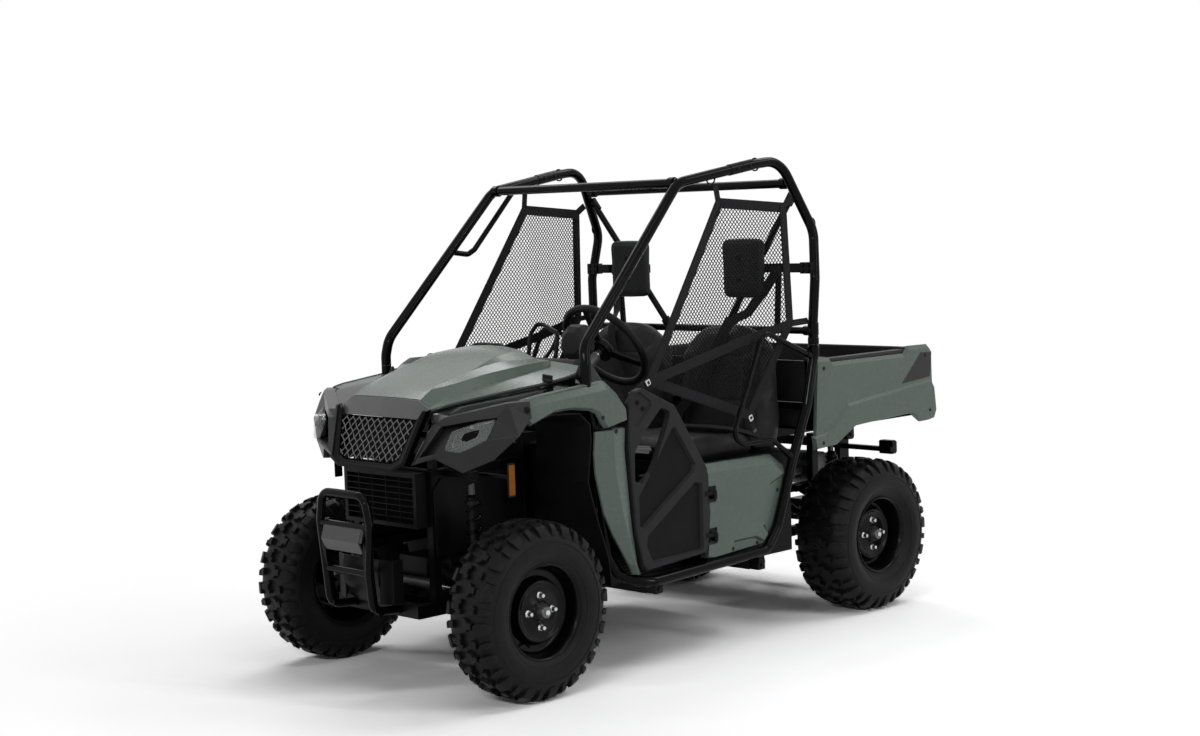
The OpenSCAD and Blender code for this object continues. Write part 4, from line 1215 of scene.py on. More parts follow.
def make_hood_shelf():
    """The black shelf between the hood and the fender."""
    shelf = Shape()
    inner = [(243, -1082, 968), (252, -1010, 981), (350, -812, 1016), (412, -722, 1034),
             (452, -664, 1048), (478, -615, 1056)]
    outer = [(268, -1093, 936), (330, -1062, 962), (500, -958, 998), (498, -870, 1012),
             (500, -760, 1024), (506, -600, 1040)]
    rings = [[Vector(a), Vector(b), Vector(b) - Vector((0, 0, 5)), Vector(a) - Vector((0, 0, 5))]
             for a, b in zip(inner, outer)]
    shelf.add(loft(rings))
    # Filler between the nose and the lamp bezel
    filler = [(206, 896), (222, 975), (238, 972), (262, 950), (300, 936), (292, 896)]
    shelf.add(along_y(filler, -1066, -1061))
    shelf.mirror()
    shelf.piece("hood_shelf", ["gloss"], "chassis", "black_plastic", bevel=1.0)


def make_fender_clips():
    clips = Shape()
    for y, z, x in ((-547, 873, 0), (-606, 926, -2)):
        clips.add(*push_clip((flare(x, y) - 1, y, z), (1, 0, 0), 8))
    clips.mirror()
    clips.piece("fender_clips", ["plastic"], "chassis", "black_plastic", angle=30)


def make_liners():
    """Plastic rivets in the arch liners."""
    trim = Shape()
    for p, n in (((520, -640, 797), (0, -1, 0.1)), ((520, -588, 460), (0, -1, 0.5)),
                 ((420, -655, 720), (0, -1, 0)), ((470, -700, 940), (0, -0.4, -1))):
        trim.add(*push_clip(Vector(p), n, 8))
    trim.mirror()
    trim.piece("liner_clips", ["plastic"], "chassis", "black_plastic", angle=30)


BEZEL_OUT = [(212, -1152, 794), (276, -1098, 933), (322, -1084, 959), (509, -965, 1005),
             (560, -912, 1010), (588, -930, 958), (570, -973, 898), (483, -1012, 817),
             (388, -1070, 773), (308, -1125, 821)]
BEZEL_IN = [(253, -1146, 824), (314, -1095, 928), (420, -1030, 949), (477, -985, 956),
            (479, -1035, 885), (346, -1126, 847)]
LENS = [(349, -1120, 851), (354, -1085, 914), (426, -1035, 941), (468, -985, 952),
        (470, -990, 933), (473, -1030, 884), (399, -1090, 844)]


def make_bezels():
    """The faceted frame round each lamp."""
    bezel = Shape()
    out = [Vector(p) for p in BEZEL_OUT]
    hole = [Vector(p) for p in BEZEL_IN]
    sunk = [p + Vector((-16, 34, 0)) for p in hole]
    back = [p + Vector((-34, 26, 0)) for p in out]
    back[0] = Vector((212, -1110, 806))
    verts = out + hole + sunk + back
    # Facets between the outline, corners 0 to 9, and the opening, corners 10 to 15
    faces = [[0, 1, 11, 10], [1, 2, 12, 11], [2, 3, 13, 12], [3, 4, 5], [3, 5, 6], [3, 6, 13],
             [13, 6, 14], [6, 7, 14], [14, 7, 8], [14, 8, 15], [15, 8, 9], [15, 9, 0], [15, 0, 10]]
    for k in range(6):
        faces.append([10 + k, 10 + (k + 1) % 6, 16 + (k + 1) % 6, 16 + k])
    faces.append([16 + k for k in range(6)])
    for k in range(10):
        faces.append([k, (k + 1) % 10, 22 + (k + 1) % 10, 22 + k])
    faces.append([22 + k for k in range(10)])
    bezel.add((verts, faces))
    bezel.mirror()
    bezel.piece("lamp_bezels", ["bezel"], "chassis", "black_plastic", ["headlight_bezels"],
                bevel=1.6, steps=2, angle=12)


def make_bezel_bolts():
    """One bolt on the facet in each bezel's top outer corner."""
    bolts = Shape()
    facet = [Vector(p) for p in BEZEL_OUT[3:7]]
    outward = (facet[2] - facet[0]).cross(facet[1] - facet[0]).normalized()
    if outward.x < 0:
        outward = -outward
    at = sum(facet, Vector()) / 4 + Vector((12, 10, 18))
    bolts.add(*bolt(at + outward * 2, outward, 7, 5))
    bolts.mirror()
    bolts.piece("bezel_bolts", ["satin"], "chassis", "black_plastic", angle=30)


LENS_MIDDLE = sum((Vector(p) for p in LENS), Vector()) / len(LENS)


def lens_ring(f, v):
    """The lens outline, scaled by f about its middle and moved by v."""
    return [LENS_MIDDLE + (Vector(p) - LENS_MIDDLE) * f + Vector(v) for p in rounded_ring(LENS, 12)]


def make_lamp_bowls():
    """The dark outer ring, the chrome bowl brightened by painted reflection, the bulb shield and the fluted
    step.
    """
    bowl = Shape()
    bowl.use(1).add(loft([lens_ring(1.0, (-10, 24, 0)), lens_ring(0.985, (-2, 8, 0)),
                          lens_ring(0.90, (-3, 9, 0)), lens_ring(0.84, (-14, 30, -1))]))
    bowl.use(0).add(loft([lens_ring(0.845, (-12, 26, -1)), lens_ring(0.83, (-10, 23, -1)),
                          lens_ring(0.70, (-16, 34, -1)), lens_ring(0.52, (-22, 44, -2)),
                          lens_ring(0.25, (-27, 52, -3))]))
    bowl.add(lathe([[14, 0], [14, 12], [12, 18], [8, 23], [4, 25], [0.01, 25.5]],
                   LENS_MIDDLE + Vector((-22, 44, -4)), (0.45, -0.88, 0.05), 28, closed=False))
    for k in range(5):
        a = LENS_MIDDLE + Vector((-38 + k * 12, 22 - k * 9, 22 - k * 0.5))
        bowl.add(loft([[a + Vector((d - x, -d * 0.8 + y, h))
                        for d, h in ((-5, 0), (5, 0), (4, 8), (-4, 8))] for x, y in ((0, 0), (8, 20))]))
    bowl.mirror()
    bowl.piece("lamp_bowls", ["chrome", "gloss"], "chassis", "lamp_chrome", ["headlamps"], bevel=0.6,
               angle=24)


def make_lamp_covers():
    """The thin clear cover, crowned towards its middle."""
    glass = Shape()
    rings = [lens_ring(0.99, (-1, 6, 0)), lens_ring(1.0, (3, -1, 0)), lens_ring(0.93, (7, -8, 1)),
             lens_ring(0.7, (10, -13, 1)), lens_ring(0.35, (11, -15, 1))]
    inside = [[p - Vector((1.2, -2.2, 0)) for p in ring] for ring in rings[::-1]]
    glass.add(loft(rings + inside, caps=False))
    glass.mirror()
    glass.piece("lamp_covers", ["lens"], "chassis", "lamp_chrome", angle=60)


def make_nose():
    """The bright cap between the hood and the grille."""
    nose = Shape()
    front = [Vector(p) for p in ((0, -1087, 1013), (184, -1082, 1011), (240, -1078, 980),
                                 (224, -1096, 944), (152, -1111, 949), (0, -1113, 949))]
    verts = front + [p + Vector((0, 24, -3)) for p in front]
    faces = [[0, 1, 4, 5], [1, 2, 3, 4]]
    for k in range(5):
        faces.append([k, k + 1, k + 7, k + 6])
    faces += [[6, 7, 10, 11], [7, 8, 9, 10]]
    nose.add((verts, faces)).mirror()
    nose.piece("nose_cover", ["nose"], "chassis", "gloss_plastic", ["nose_panel"], bevel=1.2,
               angle=14)


GRILLE_LEAN = math.radians(17)
GRILLE_OPENING = [(-200, 40), (-163, 170), (-126, 187), (126, 187), (163, 170), (200, 40)]


def on_grille(x, drop):
    """A point of the grille's tilted face: x across, drop down from its top edge."""
    return Vector((x, -1098 - drop * math.sin(GRILLE_LEAN) * 1.25,
                   982 - drop * math.cos(GRILLE_LEAN)))


def grille_ring(points, out):
    """A line on the grille's face, moved out from it."""
    n = Vector((0, -math.cos(GRILLE_LEAN), -math.sin(GRILLE_LEAN) * 0.6))
    return [on_grille(x, d) + n * out for x, d in points]


def make_grille_surround():
    """A deep gloss frame, open at its top, with a raised inner edge."""
    outer = [(-250, 2), (-206, 190), (-150, 216), (150, 216), (206, 190), (250, 2)]
    mid = [(-232, 2), (-192, 180), (-144, 203), (144, 203), (192, 180), (232, 2)]
    inner = [(-204, 38), (-166, 172), (-128, 190), (128, 190), (166, 172), (204, 38)]
    frame_shape = Shape()
    profile = [grille_ring(points, out) for points, out in (
        (outer, -22), (outer, 2), (outer, 8), (mid, 12), (mid, 5), (inner, 2), (inner, 7),
        (inner, -12))]
    k = len(outer)
    verts, faces = [], []
    for r in profile:
        verts += r
    for i in range(len(profile)):
        j = (i + 1) % len(profile)
        for m in range(k - 1):
            faces.append([i * k + m, i * k + m + 1, j * k + m + 1, j * k + m])
    faces.append([i * k for i in range(len(profile))][::-1])
    faces.append([i * k + k - 1 for i in range(len(profile))])
    frame_shape.add((verts, faces))
    frame_shape.piece("grille_surround", ["gloss"], "chassis", "gloss_plastic", ["grille"],
                      bevel=3, steps=3, angle=12)


def make_grille_mesh():
    """Two crossed sets of flat wires, which wave over and under each other."""
    mesh = Shape()
    for k in range(-16, 17):
        for lean in (1, -1):
            hits = clip_line(GRILLE_OPENING, (k * 35, 113), (lean * 17.5, 18))
            if hits:
                a, b = (on_grille(*h) for h in hits)
                n = Vector((0, -1, -0.3)).normalized() * (1.5 * lean)
                steps = max(2, int((b - a).length / 9))
                path = [a.lerp(b, i / steps) + n * math.cos(math.pi * i * 9 / 25)
                        for i in range(steps + 1)]
                mesh.add(strap(path, 3.6, 1.6, (1, 0, 0)))
    mesh.piece("grille_mesh", ["meshwire"], "chassis", "gloss_plastic", angle=30)


def make_grille_back():
    """The box of painted shade behind the wires, in the near-black shadow material: its back, and the walls
    at its sides.
    """
    behind = Shape()
    behind.add(loft([[on_grille(x, d) + Vector((0, y, 0)) for x, d in GRILLE_OPENING]
                     for y in (26, 29)]))
    for s in (1, -1):
        for (x0, d0), (x1, d1) in (((200, 36), (163, 172)), ((163, 170), (124, 189))):
            ring = [on_grille(s * x0, d0), on_grille(s * (x0 + 4), d0),
                    on_grille(s * (x1 + 4), d1), on_grille(s * x1, d1)]
            behind.add(loft([[q + Vector((0, y, 0)) for q in ring] for y in (4, 29)]))
    behind.piece("grille_back", ["dark"], "chassis", "black_plastic")


def clip_line(poly, p, d):
    """The stretch of the line p + t d that lies in a convex polygon, or None."""
    t0, t1 = -1e9, 1e9
    side = 1 if area_of(poly) > 0 else -1
    for i in range(len(poly)):
        a, b = Vector(poly[i]), Vector(poly[(i + 1) % len(poly)])
        n = Vector((-(b - a).y, (b - a).x)) * side
        num, den = n.dot(Vector(p) - a), n.dot(Vector(d))
        if abs(den) < 1e-9:
            if num < 0:
                return None
            continue
        t = -num / den
        if den > 0:
            t0 = max(t0, t)
        else:
            t1 = min(t1, t)
    if t1 - t0 < 0.15:
        return None
    return [(p[0] + d[0] * t, p[1] + d[1] * t) for t in (t0, t1)]


def make_radiator():
    """Frame and crossed wires of the guard, in front of the finned core."""
    cooler = Shape()
    for x0, x1, z0, z1 in ((-198, -182, 572, 762), (182, 198, 572, 762), (-182, 182, 572, 586),
                           (-182, 182, 746, 762)):
        cooler.add(block((x0, -1122, z0), (x1, -1072, z1)))
    for k in range(7):
        z = 606 + k * 21
        cooler.add(tube([(-184, -1121, z), (184, -1121, z)], 1.6, 8))
    for x in (-112, -38, 38, 112):
        cooler.add(tube([(x, -1122.5, 580), (x, -1122.5, 752)], 1.6, 8))
    # The core and its fins take the near-black shadow material: the core's own black, with the shade deep
    # in the nose painted on
    cooler.use(1).add(block((-181, -1096, 586), (181, -1072, 746)))
    for k in range(60):
        x = -180 + k * 6.1
        cooler.add(block((x, -1099, 587), (x + 1, -1095, 745)))
    cooler.piece("radiator_guard", ["satin", "dark"], "chassis", "black_plastic", ["radiator"])


def make_nose_covers():
    """Inner side covers, and the apron below the radiator guard."""
    cover = Shape()
    wall = [(-1060, 470), (-650, 470), (-650, 740), (-1030, 740), (-1066, 700)]
    corner_fold = [(96, -1214), (150, -1196), (158, -1158), (152, -1158), (145, -1190), (94, -1208)]
    for s in (1, -1):
        cover.add(along_x(wall, s * 222, s * 226))
        cover.add(along_z(sided(s, corner_fold), 318, 470))
    line = [(-1212, 470), (-1222, 430), (-1218, 380), (-1196, 330), (-1156, 300), (-1152, 304),
            (-1190, 334), (-1212, 382), (-1216, 430), (-1206, 470)]
    cover.add(plate(line, -98, 98))
    cover.piece("nose_covers", ["satin"], "chassis", "black_plastic", bevel=1.0, angle=30)


# ---- Doors, hip panels and bed ----

def pocket(outline, x_face, depth, draft=5, r=8):
    """A cutter for a recess with sloping walls and rounded corners in a face at x_face."""
    return Shape().add(loft([[(x, *q) for q in rounded(inset(outline, d), r, 3)] for x, d in
                             ((x_face - depth, draft), (x_face, 0), (x_face + 6, -draft))]))


DOOR = [(-410, 1012), (-247, 936), (-83, 690), (-80, 565), (-70, 532), (-90, 405),
        (-94, 383), (-408, 362), (-430, 387), (-462, 507), (-485, 794),
        (-482, 895), (-479, 962), (-440, 1002)]
DOOR_FACE = 599.5
UPPER_RECESS = [(-251, 862), (-147, 713), (-158, 684), (-428, 512), (-444, 524), (-445, 628),
                (-265, 856)]
LOWER_RECESS = [(-152, 649), (-114, 640), (-116, 394), (-381, 386), (-414, 452), (-404, 488)]
HINGE_HEIGHTS = (436, 590)
HINGE_PIN = (606, -56)


def door_skin():
    """The door's plate, and the cutters for its recesses, its slot and its hollow back."""
    radii = [16, 16, 10, 6, 6, 8, 8, 8, 14, 20, 20, 10, 14, 10]
    slot = [(-318, 935), (-274, 918), (-279, 890), (-351, 747), (-379, 707), (-428, 673),
            (-446, 675), (-462, 690), (-459, 790), (-411, 852)]
    plug = [(-472, 975), (-430, 1001), (-370, 964), (-368, 942), (-446, 870), (-477, 900)]
    skin = Shape().add(plate(DOOR, 571, DOOR_FACE, 4.5, deep=3.5, r=radii))
    cuts = [pocket(outline, DOOR_FACE, *sizes) for outline, sizes in (
        (UPPER_RECESS, (13, 7)), (LOWER_RECESS, (13, 7)), (slot, (40, 8, 10)), (plug, (6, 4, 6)))]
    cuts.append(Shape().add(along_x(inset(DOOR, 16), 560, 579)))
    return skin, cuts


def door_ribs():
    """Ribs in the hollow back."""
    ribs = Shape()
    for y, top in ((-370, 668), (-290, 668), (-200, 760), (-140, 690)):
        ribs.add(block((572, y - 1.5, 400), (581, y + 1.5, top)))
    for z in (480, 600, 700):
        ribs.add(block((572, -420, z - 1.5), (581, -110, z + 1.5)))
    return ribs


def door_hardware():
    """Painted-shade floors of the recesses in the darker liner plastic, the latch bar and its grab, bolts,
    clips and hinge leaves.
    """
    hard = Shape()
    # Sheets of the darker liner plastic on the recess floors: painted shade, darker than the door's own
    # plastic
    for recess in (UPPER_RECESS, LOWER_RECESS):
        hard.use(3).add(along_x(rounded(inset(recess, 6.2), 6, 3), 584.5, 587.2))
    bar = [(-448, 812), (-368, 801), (-380, 775), (-460, 788)]
    hard.use(0).add(plate(rounded(bar, 4), 583, 592, 2.0, deep=1.5))
    hard.add(tube(bent([(586, -452, 800), (592, -400, 793), (592, -372, 789)], 8), 5, 12))
    for y, z in ((-432, 962), (-405, 938)):
        hard.use(1).add(*bolt((596, y, z), (1, 0, 0), 6.5, 4))
    for y, z in ((-384, 394), (-118, 396), (-128, 640)):
        hard.use(1).add(*push_clip((590, y, z), (1, 0, 0), 7))
    for z in HINGE_HEIGHTS:
        hard.use(2).add(lathe([[4.6, 0], [9, 0], [9, 14], [4.6, 14]], (*HINGE_PIN, z + 0.8),
                              (0, 0, 1), 24))
        leaf = [(597, -104), (604, -100), (608, -64), (600, -64)]
        hard.add(along_z(leaf, z + 0.8, z + 14.8))
        hard.add(*bolt((602, -88, z + 8), (1, 0, 0), 4.5, 3))
    return hard


def make_doors():
    skin, cuts = door_skin()
    kinds = ((skin, "panel", ["plastic"], "black_plastic", cuts, 1.2),
             (door_ribs(), "ribs", ["plastic"], "black_plastic", (), 0.0),
             (door_hardware(), "hardware", ["plate", "satin", "satin", "liner"], "cast_metal", (),
              0.6))
    for body in ("left_door", "right_door"):
        for shape, kind, mats, slot, cutters, bevel in kinds:
            if body == "right_door":
                shape, cutters = shape.flipped(), [c.flipped() for c in cutters]
            shape.piece(f"{body}_{kind}", mats, body, slot, [body] if kind == "panel" else (),
                        bevel=bevel, angle=28, cut=cutters)


def make_hips():
    """The green covers beside the seats, with steps down to their rear and lower edges."""
    outline = [(-84, 702), (292, 698), (366, 648), (334, 512), (282, 424), (222, 366),
               (12, 355), (-53, 352), (-91, 358), (-78, 520)]
    edge = [32, 34, 8, 8, 8, 8, 6, 6, 3, 3]
    skin = Shape().add(plate(outline, 559, 597.5, edge, deep=20))
    right = [(430, 652), (266, 593), (219, 434), (262, 386), (430, 386)]
    low = [(50, 405), (183, 405), (232, 378), (196, 330), (26, 330)]
    cuts = [pocket(right, 597.5, 12, 13, 10), pocket(low, 597.5, 12, 10, 8)]
    for z in HINGE_HEIGHTS[::-1]:
        cuts.append(pocket(oblong(-100, -38, z - 28, z + 32), 597.5, 10, 1, 4))
    skin.mirror()
    skin.piece("hip_covers", ["green"], "chassis", "green_paint", ["hip_panels"], bevel=2.5,
               steps=3, angle=20, cut=cuts + [c.flipped() for c in cuts])


def make_hinge_blocks():
    """The fixed halves of the door hinges, with their pins."""
    hinge = Shape()
    for z in HINGE_HEIGHTS:
        hinge.add(rod((*HINGE_PIN, z - 16), (0, 0, 1), 9, 0, 16))
        hinge.add(rod((*HINGE_PIN, z - 1), (0, 0, 1), 4, 0, 18, 18))
        hinge.add(along_z([(588, -60), (606, -64), (604, -50), (588, -38)], z - 16, z))
        hinge.add(along_z(oblong(586, 592, -84, -42), z - 24, z + 28))
        hinge.add(*bolt((592, -74, z - 14), (1, 0, 0), 5, 4))
    hinge.mirror()
    hinge.piece("hinge_blocks", ["satin"], "chassis", "gloss_black", bevel=0.8, angle=30)


def make_hip_clips():
    clip = Shape()
    for y, z in ((320, 560), (236, 430), (196, 376), (60, 372)):
        clip.add(*push_clip((585.5, y, z), (1, 0, 0), 7))
    clip.mirror()
    clip.piece("hip_clips", ["plastic"], "chassis", "black_plastic", angle=30)


def make_bed_panels():
    """The green sides of the bed: a plate, and a proud lower band that runs up to the rear."""
    low = [(1325, 773), (1307, 737), (1266, 731), (1223, 731), (1162, 771), (994, 766), (781, 756),
           (658, 694), (535, 688)]
    top = [(560, 1042), (644, 1039), (657, 1020), (1122, 1019), (1153, 1048), (1286, 1046),
           (1310, 1021), (1312, 900)]
    side = Shape()
    outline = top + low
    edge = [15, 10, 15, 12, 17, 8, 6] + [5] * (len(low) + 1)
    side.add(plate(outline, 588.6, 601, edge, deep=12))
    proud = [(520, 742), (600, 754), (738, 857), (1288, 909), (1312, 874)] + low
    rim = [10, 16, 17, 8] + [5] * (len(low) + 1)
    side.add(plate(proud, 594, 611.5, rim, deep=17))
    side.mirror()
    side.piece("bed_panels", ["green"], "bed", "green_paint", ["bed_sides"], bevel=2.2, steps=3,
               angle=12)


def make_bed_stripe():
    """The dark film at the rear of each side, and the clips."""
    extra = Shape()
    stripe = [(1100, 898), (1232, 1016), (1306, 1012), (1292, 912)]
    extra.use(0).add(plate(stripe, 600.8, 601.7))
    for y, z, x in ((575, 712, 611), (1275, 776, 611), (600, 1000, 601), (1262, 1002, 601)):
        extra.use(1).add(*push_clip((x, y, z), (1, 0, 0), 7.5))
    extra.mirror()
    extra.piece("bed_stripe", ["stripe", "plastic"], "bed", "black_plastic", angle=30)


def make_bed_liner():
    """Floor, front wall and rails with a rolled edge, ribs, corner caps, pivots and ears."""
    tub = Shape()
    half = 586
    tub.add(block((-half, 562, 760), (half, 1300, 772)))
    tub.add(block((-half, 562, 760), (half, 578, 1030)))
    rail = [(534, 762), (586, 762), (586, 1024), (580, 1034), (541, 1034), (535, 1026)]
    cap = [(528, 1026), (588, 1026), (588, 1037), (581, 1041), (536, 1041), (528, 1036)]
    rib = [(526, 772), (536, 772), (536, 1020), (530, 1014)]
    pivot = [(1176, 640), (1224, 640), (1224, 701), (1176, 701)]
    ear = [(1299, 757), (1332, 760), (1334, 784), (1299, 784)]
    for s in (1, -1):
        tub.add(along_y(sided(s, rail), 562, 1300))
        for front, rear in ((564, 640), (1156, 1298)):
            tub.add(along_y(sided(s, cap), front, rear))
        for y in (700, 820, 940, 1060):
            tub.add(along_y(sided(s, rib), y, y + 46))
        # Jamb that the tailgate closes on
        tub.add(block((s * 516, 1287, 772), (s * 536, 1300, 1022)))
        # Rails under the bed, pivots and tailgate ears with their pins
        tub.add(block((s * 226, 582, 700), (s * 256, 1224, 761)))
        tub.add(plate(rounded(pivot, 12), s * 226, s * 256))
        tub.add(plate(rounded(ear, 6), s * 404, s * 420))
        tub.add(rod((s * 378, 1324, 772), (s, 0, 0), 5, 0, 28, 18))
    tub.add(block((-522, 1287, 764), (522, 1300, 790)))
    for k in range(15):
        x = -490 + k * 70
        tub.add(along_y([(x - 16, 772), (x + 16, 772), (x + 12, 777), (x - 12, 777)], 582, 1280))
    tub.piece("bed_liner", ["plastic"], "bed", "black_plastic", ["bed_tub"], bevel=1.8, angle=28)


def raised_panel(x0, x1, y, rise, z, inner_z, border):
    """A panel that stands out from a wall at y by rise, with sloping edges."""
    return loft([[(u, y, v) for u, v in oblong(x0, x1, *z)],
                 [(u, y + rise, v) for u, v in oblong(x0 + border, x1 - border, *inner_z)]])


def make_tailgate():
    """The gate with three raised panels, cut away round its hinges."""
    gate = Shape()
    gate.add(plate([(1307, 782), (1325, 782), (1325, 1026), (1321, 1030), (1311, 1030),
                    (1307, 1026)], -528, 528))
    for x0, x1 in ((-500, -190), (-170, 170), (190, 500)):
        gate.add(raised_panel(x0, x1, 1324, 4, (800, 1008), (812, 996), 10))
    hollow = [Shape().add(block((s * 372, 1296, 700), (s * 428, 1340, 803))) for s in (1, -1)]
    gate.piece("gate_panel", ["plastic"], "tailgate", "black_plastic", ["tailgate"], bevel=1.4,
               angle=28, cut=hollow)


def make_gate_hinges():
    """Hinge eyes and leaves, and the latch handle in the middle of the gate."""
    hinge = Shape()
    for s in (1, -1):
        hinge.use(0).add(lathe([[5.4, 0], [10, 0], [10, 22], [5.4, 22]],
                               (s * 375.5, 1324, 772), (s, 0, 0), 22))
        hinge.add(block((s * 376, 1317, 779), (s * 397, 1327, 806)))
        hinge.add(block((s * 370, 1321, 800), (s * 402, 1328, 850)))
        for z in (815, 838):
            hinge.use(1).add(*bolt((s * 386, 1328, z), (0, 1, 0), 5, 2.5))
    handle = [(-70, 962), (70, 962), (58, 1004), (-58, 1004)]
    crest = [(-62, 967), (62, 967), (52, 999), (-52, 999)]
    hinge.use(0).add(loft([[(x, y, z) for x, z in rounded(outline, r)]
                           for outline, r, y in ((handle, 10, 1325), (crest, 8, 1328.5))]))
    hinge.piece("gate_hinges", ["satin", "steel"], "tailgate", "cast_metal", bevel=0.8, angle=30)


# ---- Nets, belts and seats ----

NET = [(528, 94, 1658), (564, 429, 1633), (579, 435, 1185), (552, 212, 845), (550, -333, 1023)]


def net_x(y, z):
    """Half width of the net's surface, from the fan of triangles at its first corner."""
    a = Vector(NET[0])
    best = None
    for i in range(1, 4):
        b, c = Vector(NET[i]), Vector(NET[i + 1])
        m = Matrix(((b.y - a.y, c.y - a.y), (b.z - a.z, c.z - a.z)))
        s, t = m.inverted() @ Vector((y - a.y, z - a.z))
        off = max(0, -s) + max(0, -t) + max(0, s + t - 1)
        x = a.x + (b.x - a.x) * s + (c.x - a.x) * t
        if best is None or off < best[0]:
            best = (off, x)
    return best[1]


NET_OUTLINE = [(y, z) for x, y, z in NET]
NET_PITCH = 12.5


def net_strands():
    """Two crossed sets of cords that follow the net's surface."""
    net = Shape()
    middle = Vector((150, 1260))
    for lean in (1, -1):
        d = Vector((1, lean * 1.12)).normalized()
        across = Vector((-d.y, d.x))
        u = Vector((0, across.x, across.y))
        for k in range(-72, 73):
            hits = clip_line(NET_OUTLINE, middle + across * (k * NET_PITCH), d)
            if not hits:
                continue
            a, b = (Vector(h) for h in hits)
            n = max(1, int((b - a).length / 90))
            path = []
            for i in range(n + 1):
                q = a.lerp(b, i / n)
                path.append(Vector((net_x(q.x, q.y) + 0.7 * lean, q.x, q.y)))
            net.add(loft([[p + u * s + Vector((h, 0, 0))
                           for s, h in oblong(-1.25, 1.25, -1.05, 1.05)] for p in path]))
    return net


def net_border():
    """Webbing round the net, a strap across it, and the hangers to the cage."""
    border = Shape()
    for i, a in enumerate(NET):
        b = NET[(i + 1) % len(NET)]
        path = []
        for k in range(-1, 10):
            f = k / 8
            y, z = a[1] + (b[1] - a[1]) * f, a[2] + (b[2] - a[2]) * f
            path.append(Vector((net_x(y, z), y, z)))
        t = (Vector(b) - Vector(a)).normalized()
        side = Vector((0, -t.z, t.y))
        inward = Vector((0, 200, 1250)) - path[4]
        side = side if side.dot(inward) > 0 else -side
        path = [p + side * 8 for p in path[1:-1]]
        border.add(strap(path, 38, 3.6, side))
        border.add(strap([p + Vector((2.1, 0, 0)) for p in path], 30, 1.0, side))
    across = ((430, 1184), (176, 1130), (-78, 1076), (-325, 1026))
    border.add(strap([(net_x(y, z) + 3.5, y, z) for y, z in across], 36, 2.4, (0, -0.2, 1)))
    for a, b in (((528, 94, 1658), (519, 92, 1716)), ((564, 429, 1633), (566, 474, 1660)),
                 ((579, 435, 1185), (592, 522, 1190))):
        border.add(strap([a, Vector(a).lerp(Vector(b), 0.5), b], 26, 3, (0, 1, 0.3)))
    return border


def net_clasps():
    """Steel clasps on the two lower anchors, with their short straps."""
    clasp = Shape()
    for p, q in (((550, -333, 1023), (546, -420, 985)), ((552, 212, 845), (552, 236, 792))):
        p, q = Vector(p), Vector(q)
        t = (q - p).normalized()
        side = Vector((0, -t.z, t.y))

        def button(at, outline, r, low, high, chamfer):
            return prism(rounded(outline, r), low, high,
                         lambda u, v, w: at + side * u + t * v + Vector((w + 1, 0, 0)), chamfer)

        clasp.use(1).add(button(p, oblong(-13, 13, -9, 15), 5, -2, 3, 1.5))
        clasp.use(0).add(button(p, oblong(-11, 11, -9, 15), 5, 1, 6, 1.5))
        clasp.use(1).add(button(p, oblong(-6, 6, -3, 7), 2, 5, 7.4, 0.6))
        clasp.add(strap([p + t * 10, q], 25, 3, side))
        clasp.use(2).add(button(q, oblong(-11, 11, -5, 6), 4, -3, 4, 1.5))
    return clasp


def make_nets():
    """The side nets, with their borders and clasps."""
    trims = ((net_border(), "net_border", ["webbing"]),
             (net_clasps(), "net_clasp", ["steel", "webbing", "plate"]))
    net = net_strands()
    for side_name in ("left", "right"):

        def own(shape):
            return shape if side_name == "left" else shape.flipped()

        made = [own(shape).piece(f"{side_name}_{name}", mats, "chassis", "net_webbing", angle=40)
                for shape, name, mats in trims]
        mesh = own(net).piece(f"{side_name}_net_mesh", ["net"], "chassis", "net_webbing",
                              ["side_nets"], angle=60)


def make_belts():
    """Shoulder and lap runs, the buckle with its red button, and the guide on the pad bar."""
    belts = Shape()
    shoulder = [(434, 522, 1374), (398, 484, 1296), (356, 440, 1218), (334, 402, 1204),
                (314, 360, 1172), (290, 336, 1100), (250, 318, 1010), (180, 298, 900),
                (110, 284, 830), (80, 281, 800)]
    lap = [(66, 276, 790), (160, 240, 792), (300, 236, 796), (430, 262, 790), (498, 330, 760)]
    for run, side in ((shoulder, (0.85, -0.1, -0.5)), (lap, (0, 1, 0.1))):
        belts.use(0).add(strap(bent(run, 60, 5), 44, 2.6, side))

    def pressed(outline, r, low, high, at, chamfer=0.0):
        return prism(rounded(outline, r), low, high, lambda u, v, w: Vector(at) + Vector((u, w, v)),
                     chamfer)

    buckle = [(-17, -34), (17, -34), (19, 26), (-19, 26)]
    belts.use(1).add(pressed(buckle, 7, -9, 9, (80, 275, 790), 3))
    belts.use(2).add(pressed(oblong(-12, 12, 14, 24), 2, 9, 10.5, (80, 264.5, 790)))
    belts.use(1).add(pressed(oblong(-26, 26, -14, 16), 6, -7, 2, (436, 526, 1382), 2))
    belts.mirror()
    belts.piece("belt_webbing", ["webbing", "plastic", "red"], "chassis", "net_webbing",
                ["seat_belts"], bevel=0.6, angle=30)


def cushion_body(section, steps=28):
    """A closed body from rings: section(f) gives the outline at f across its width."""
    return Shape().add(loft([section(i / steps) for i in range(steps + 1)]))


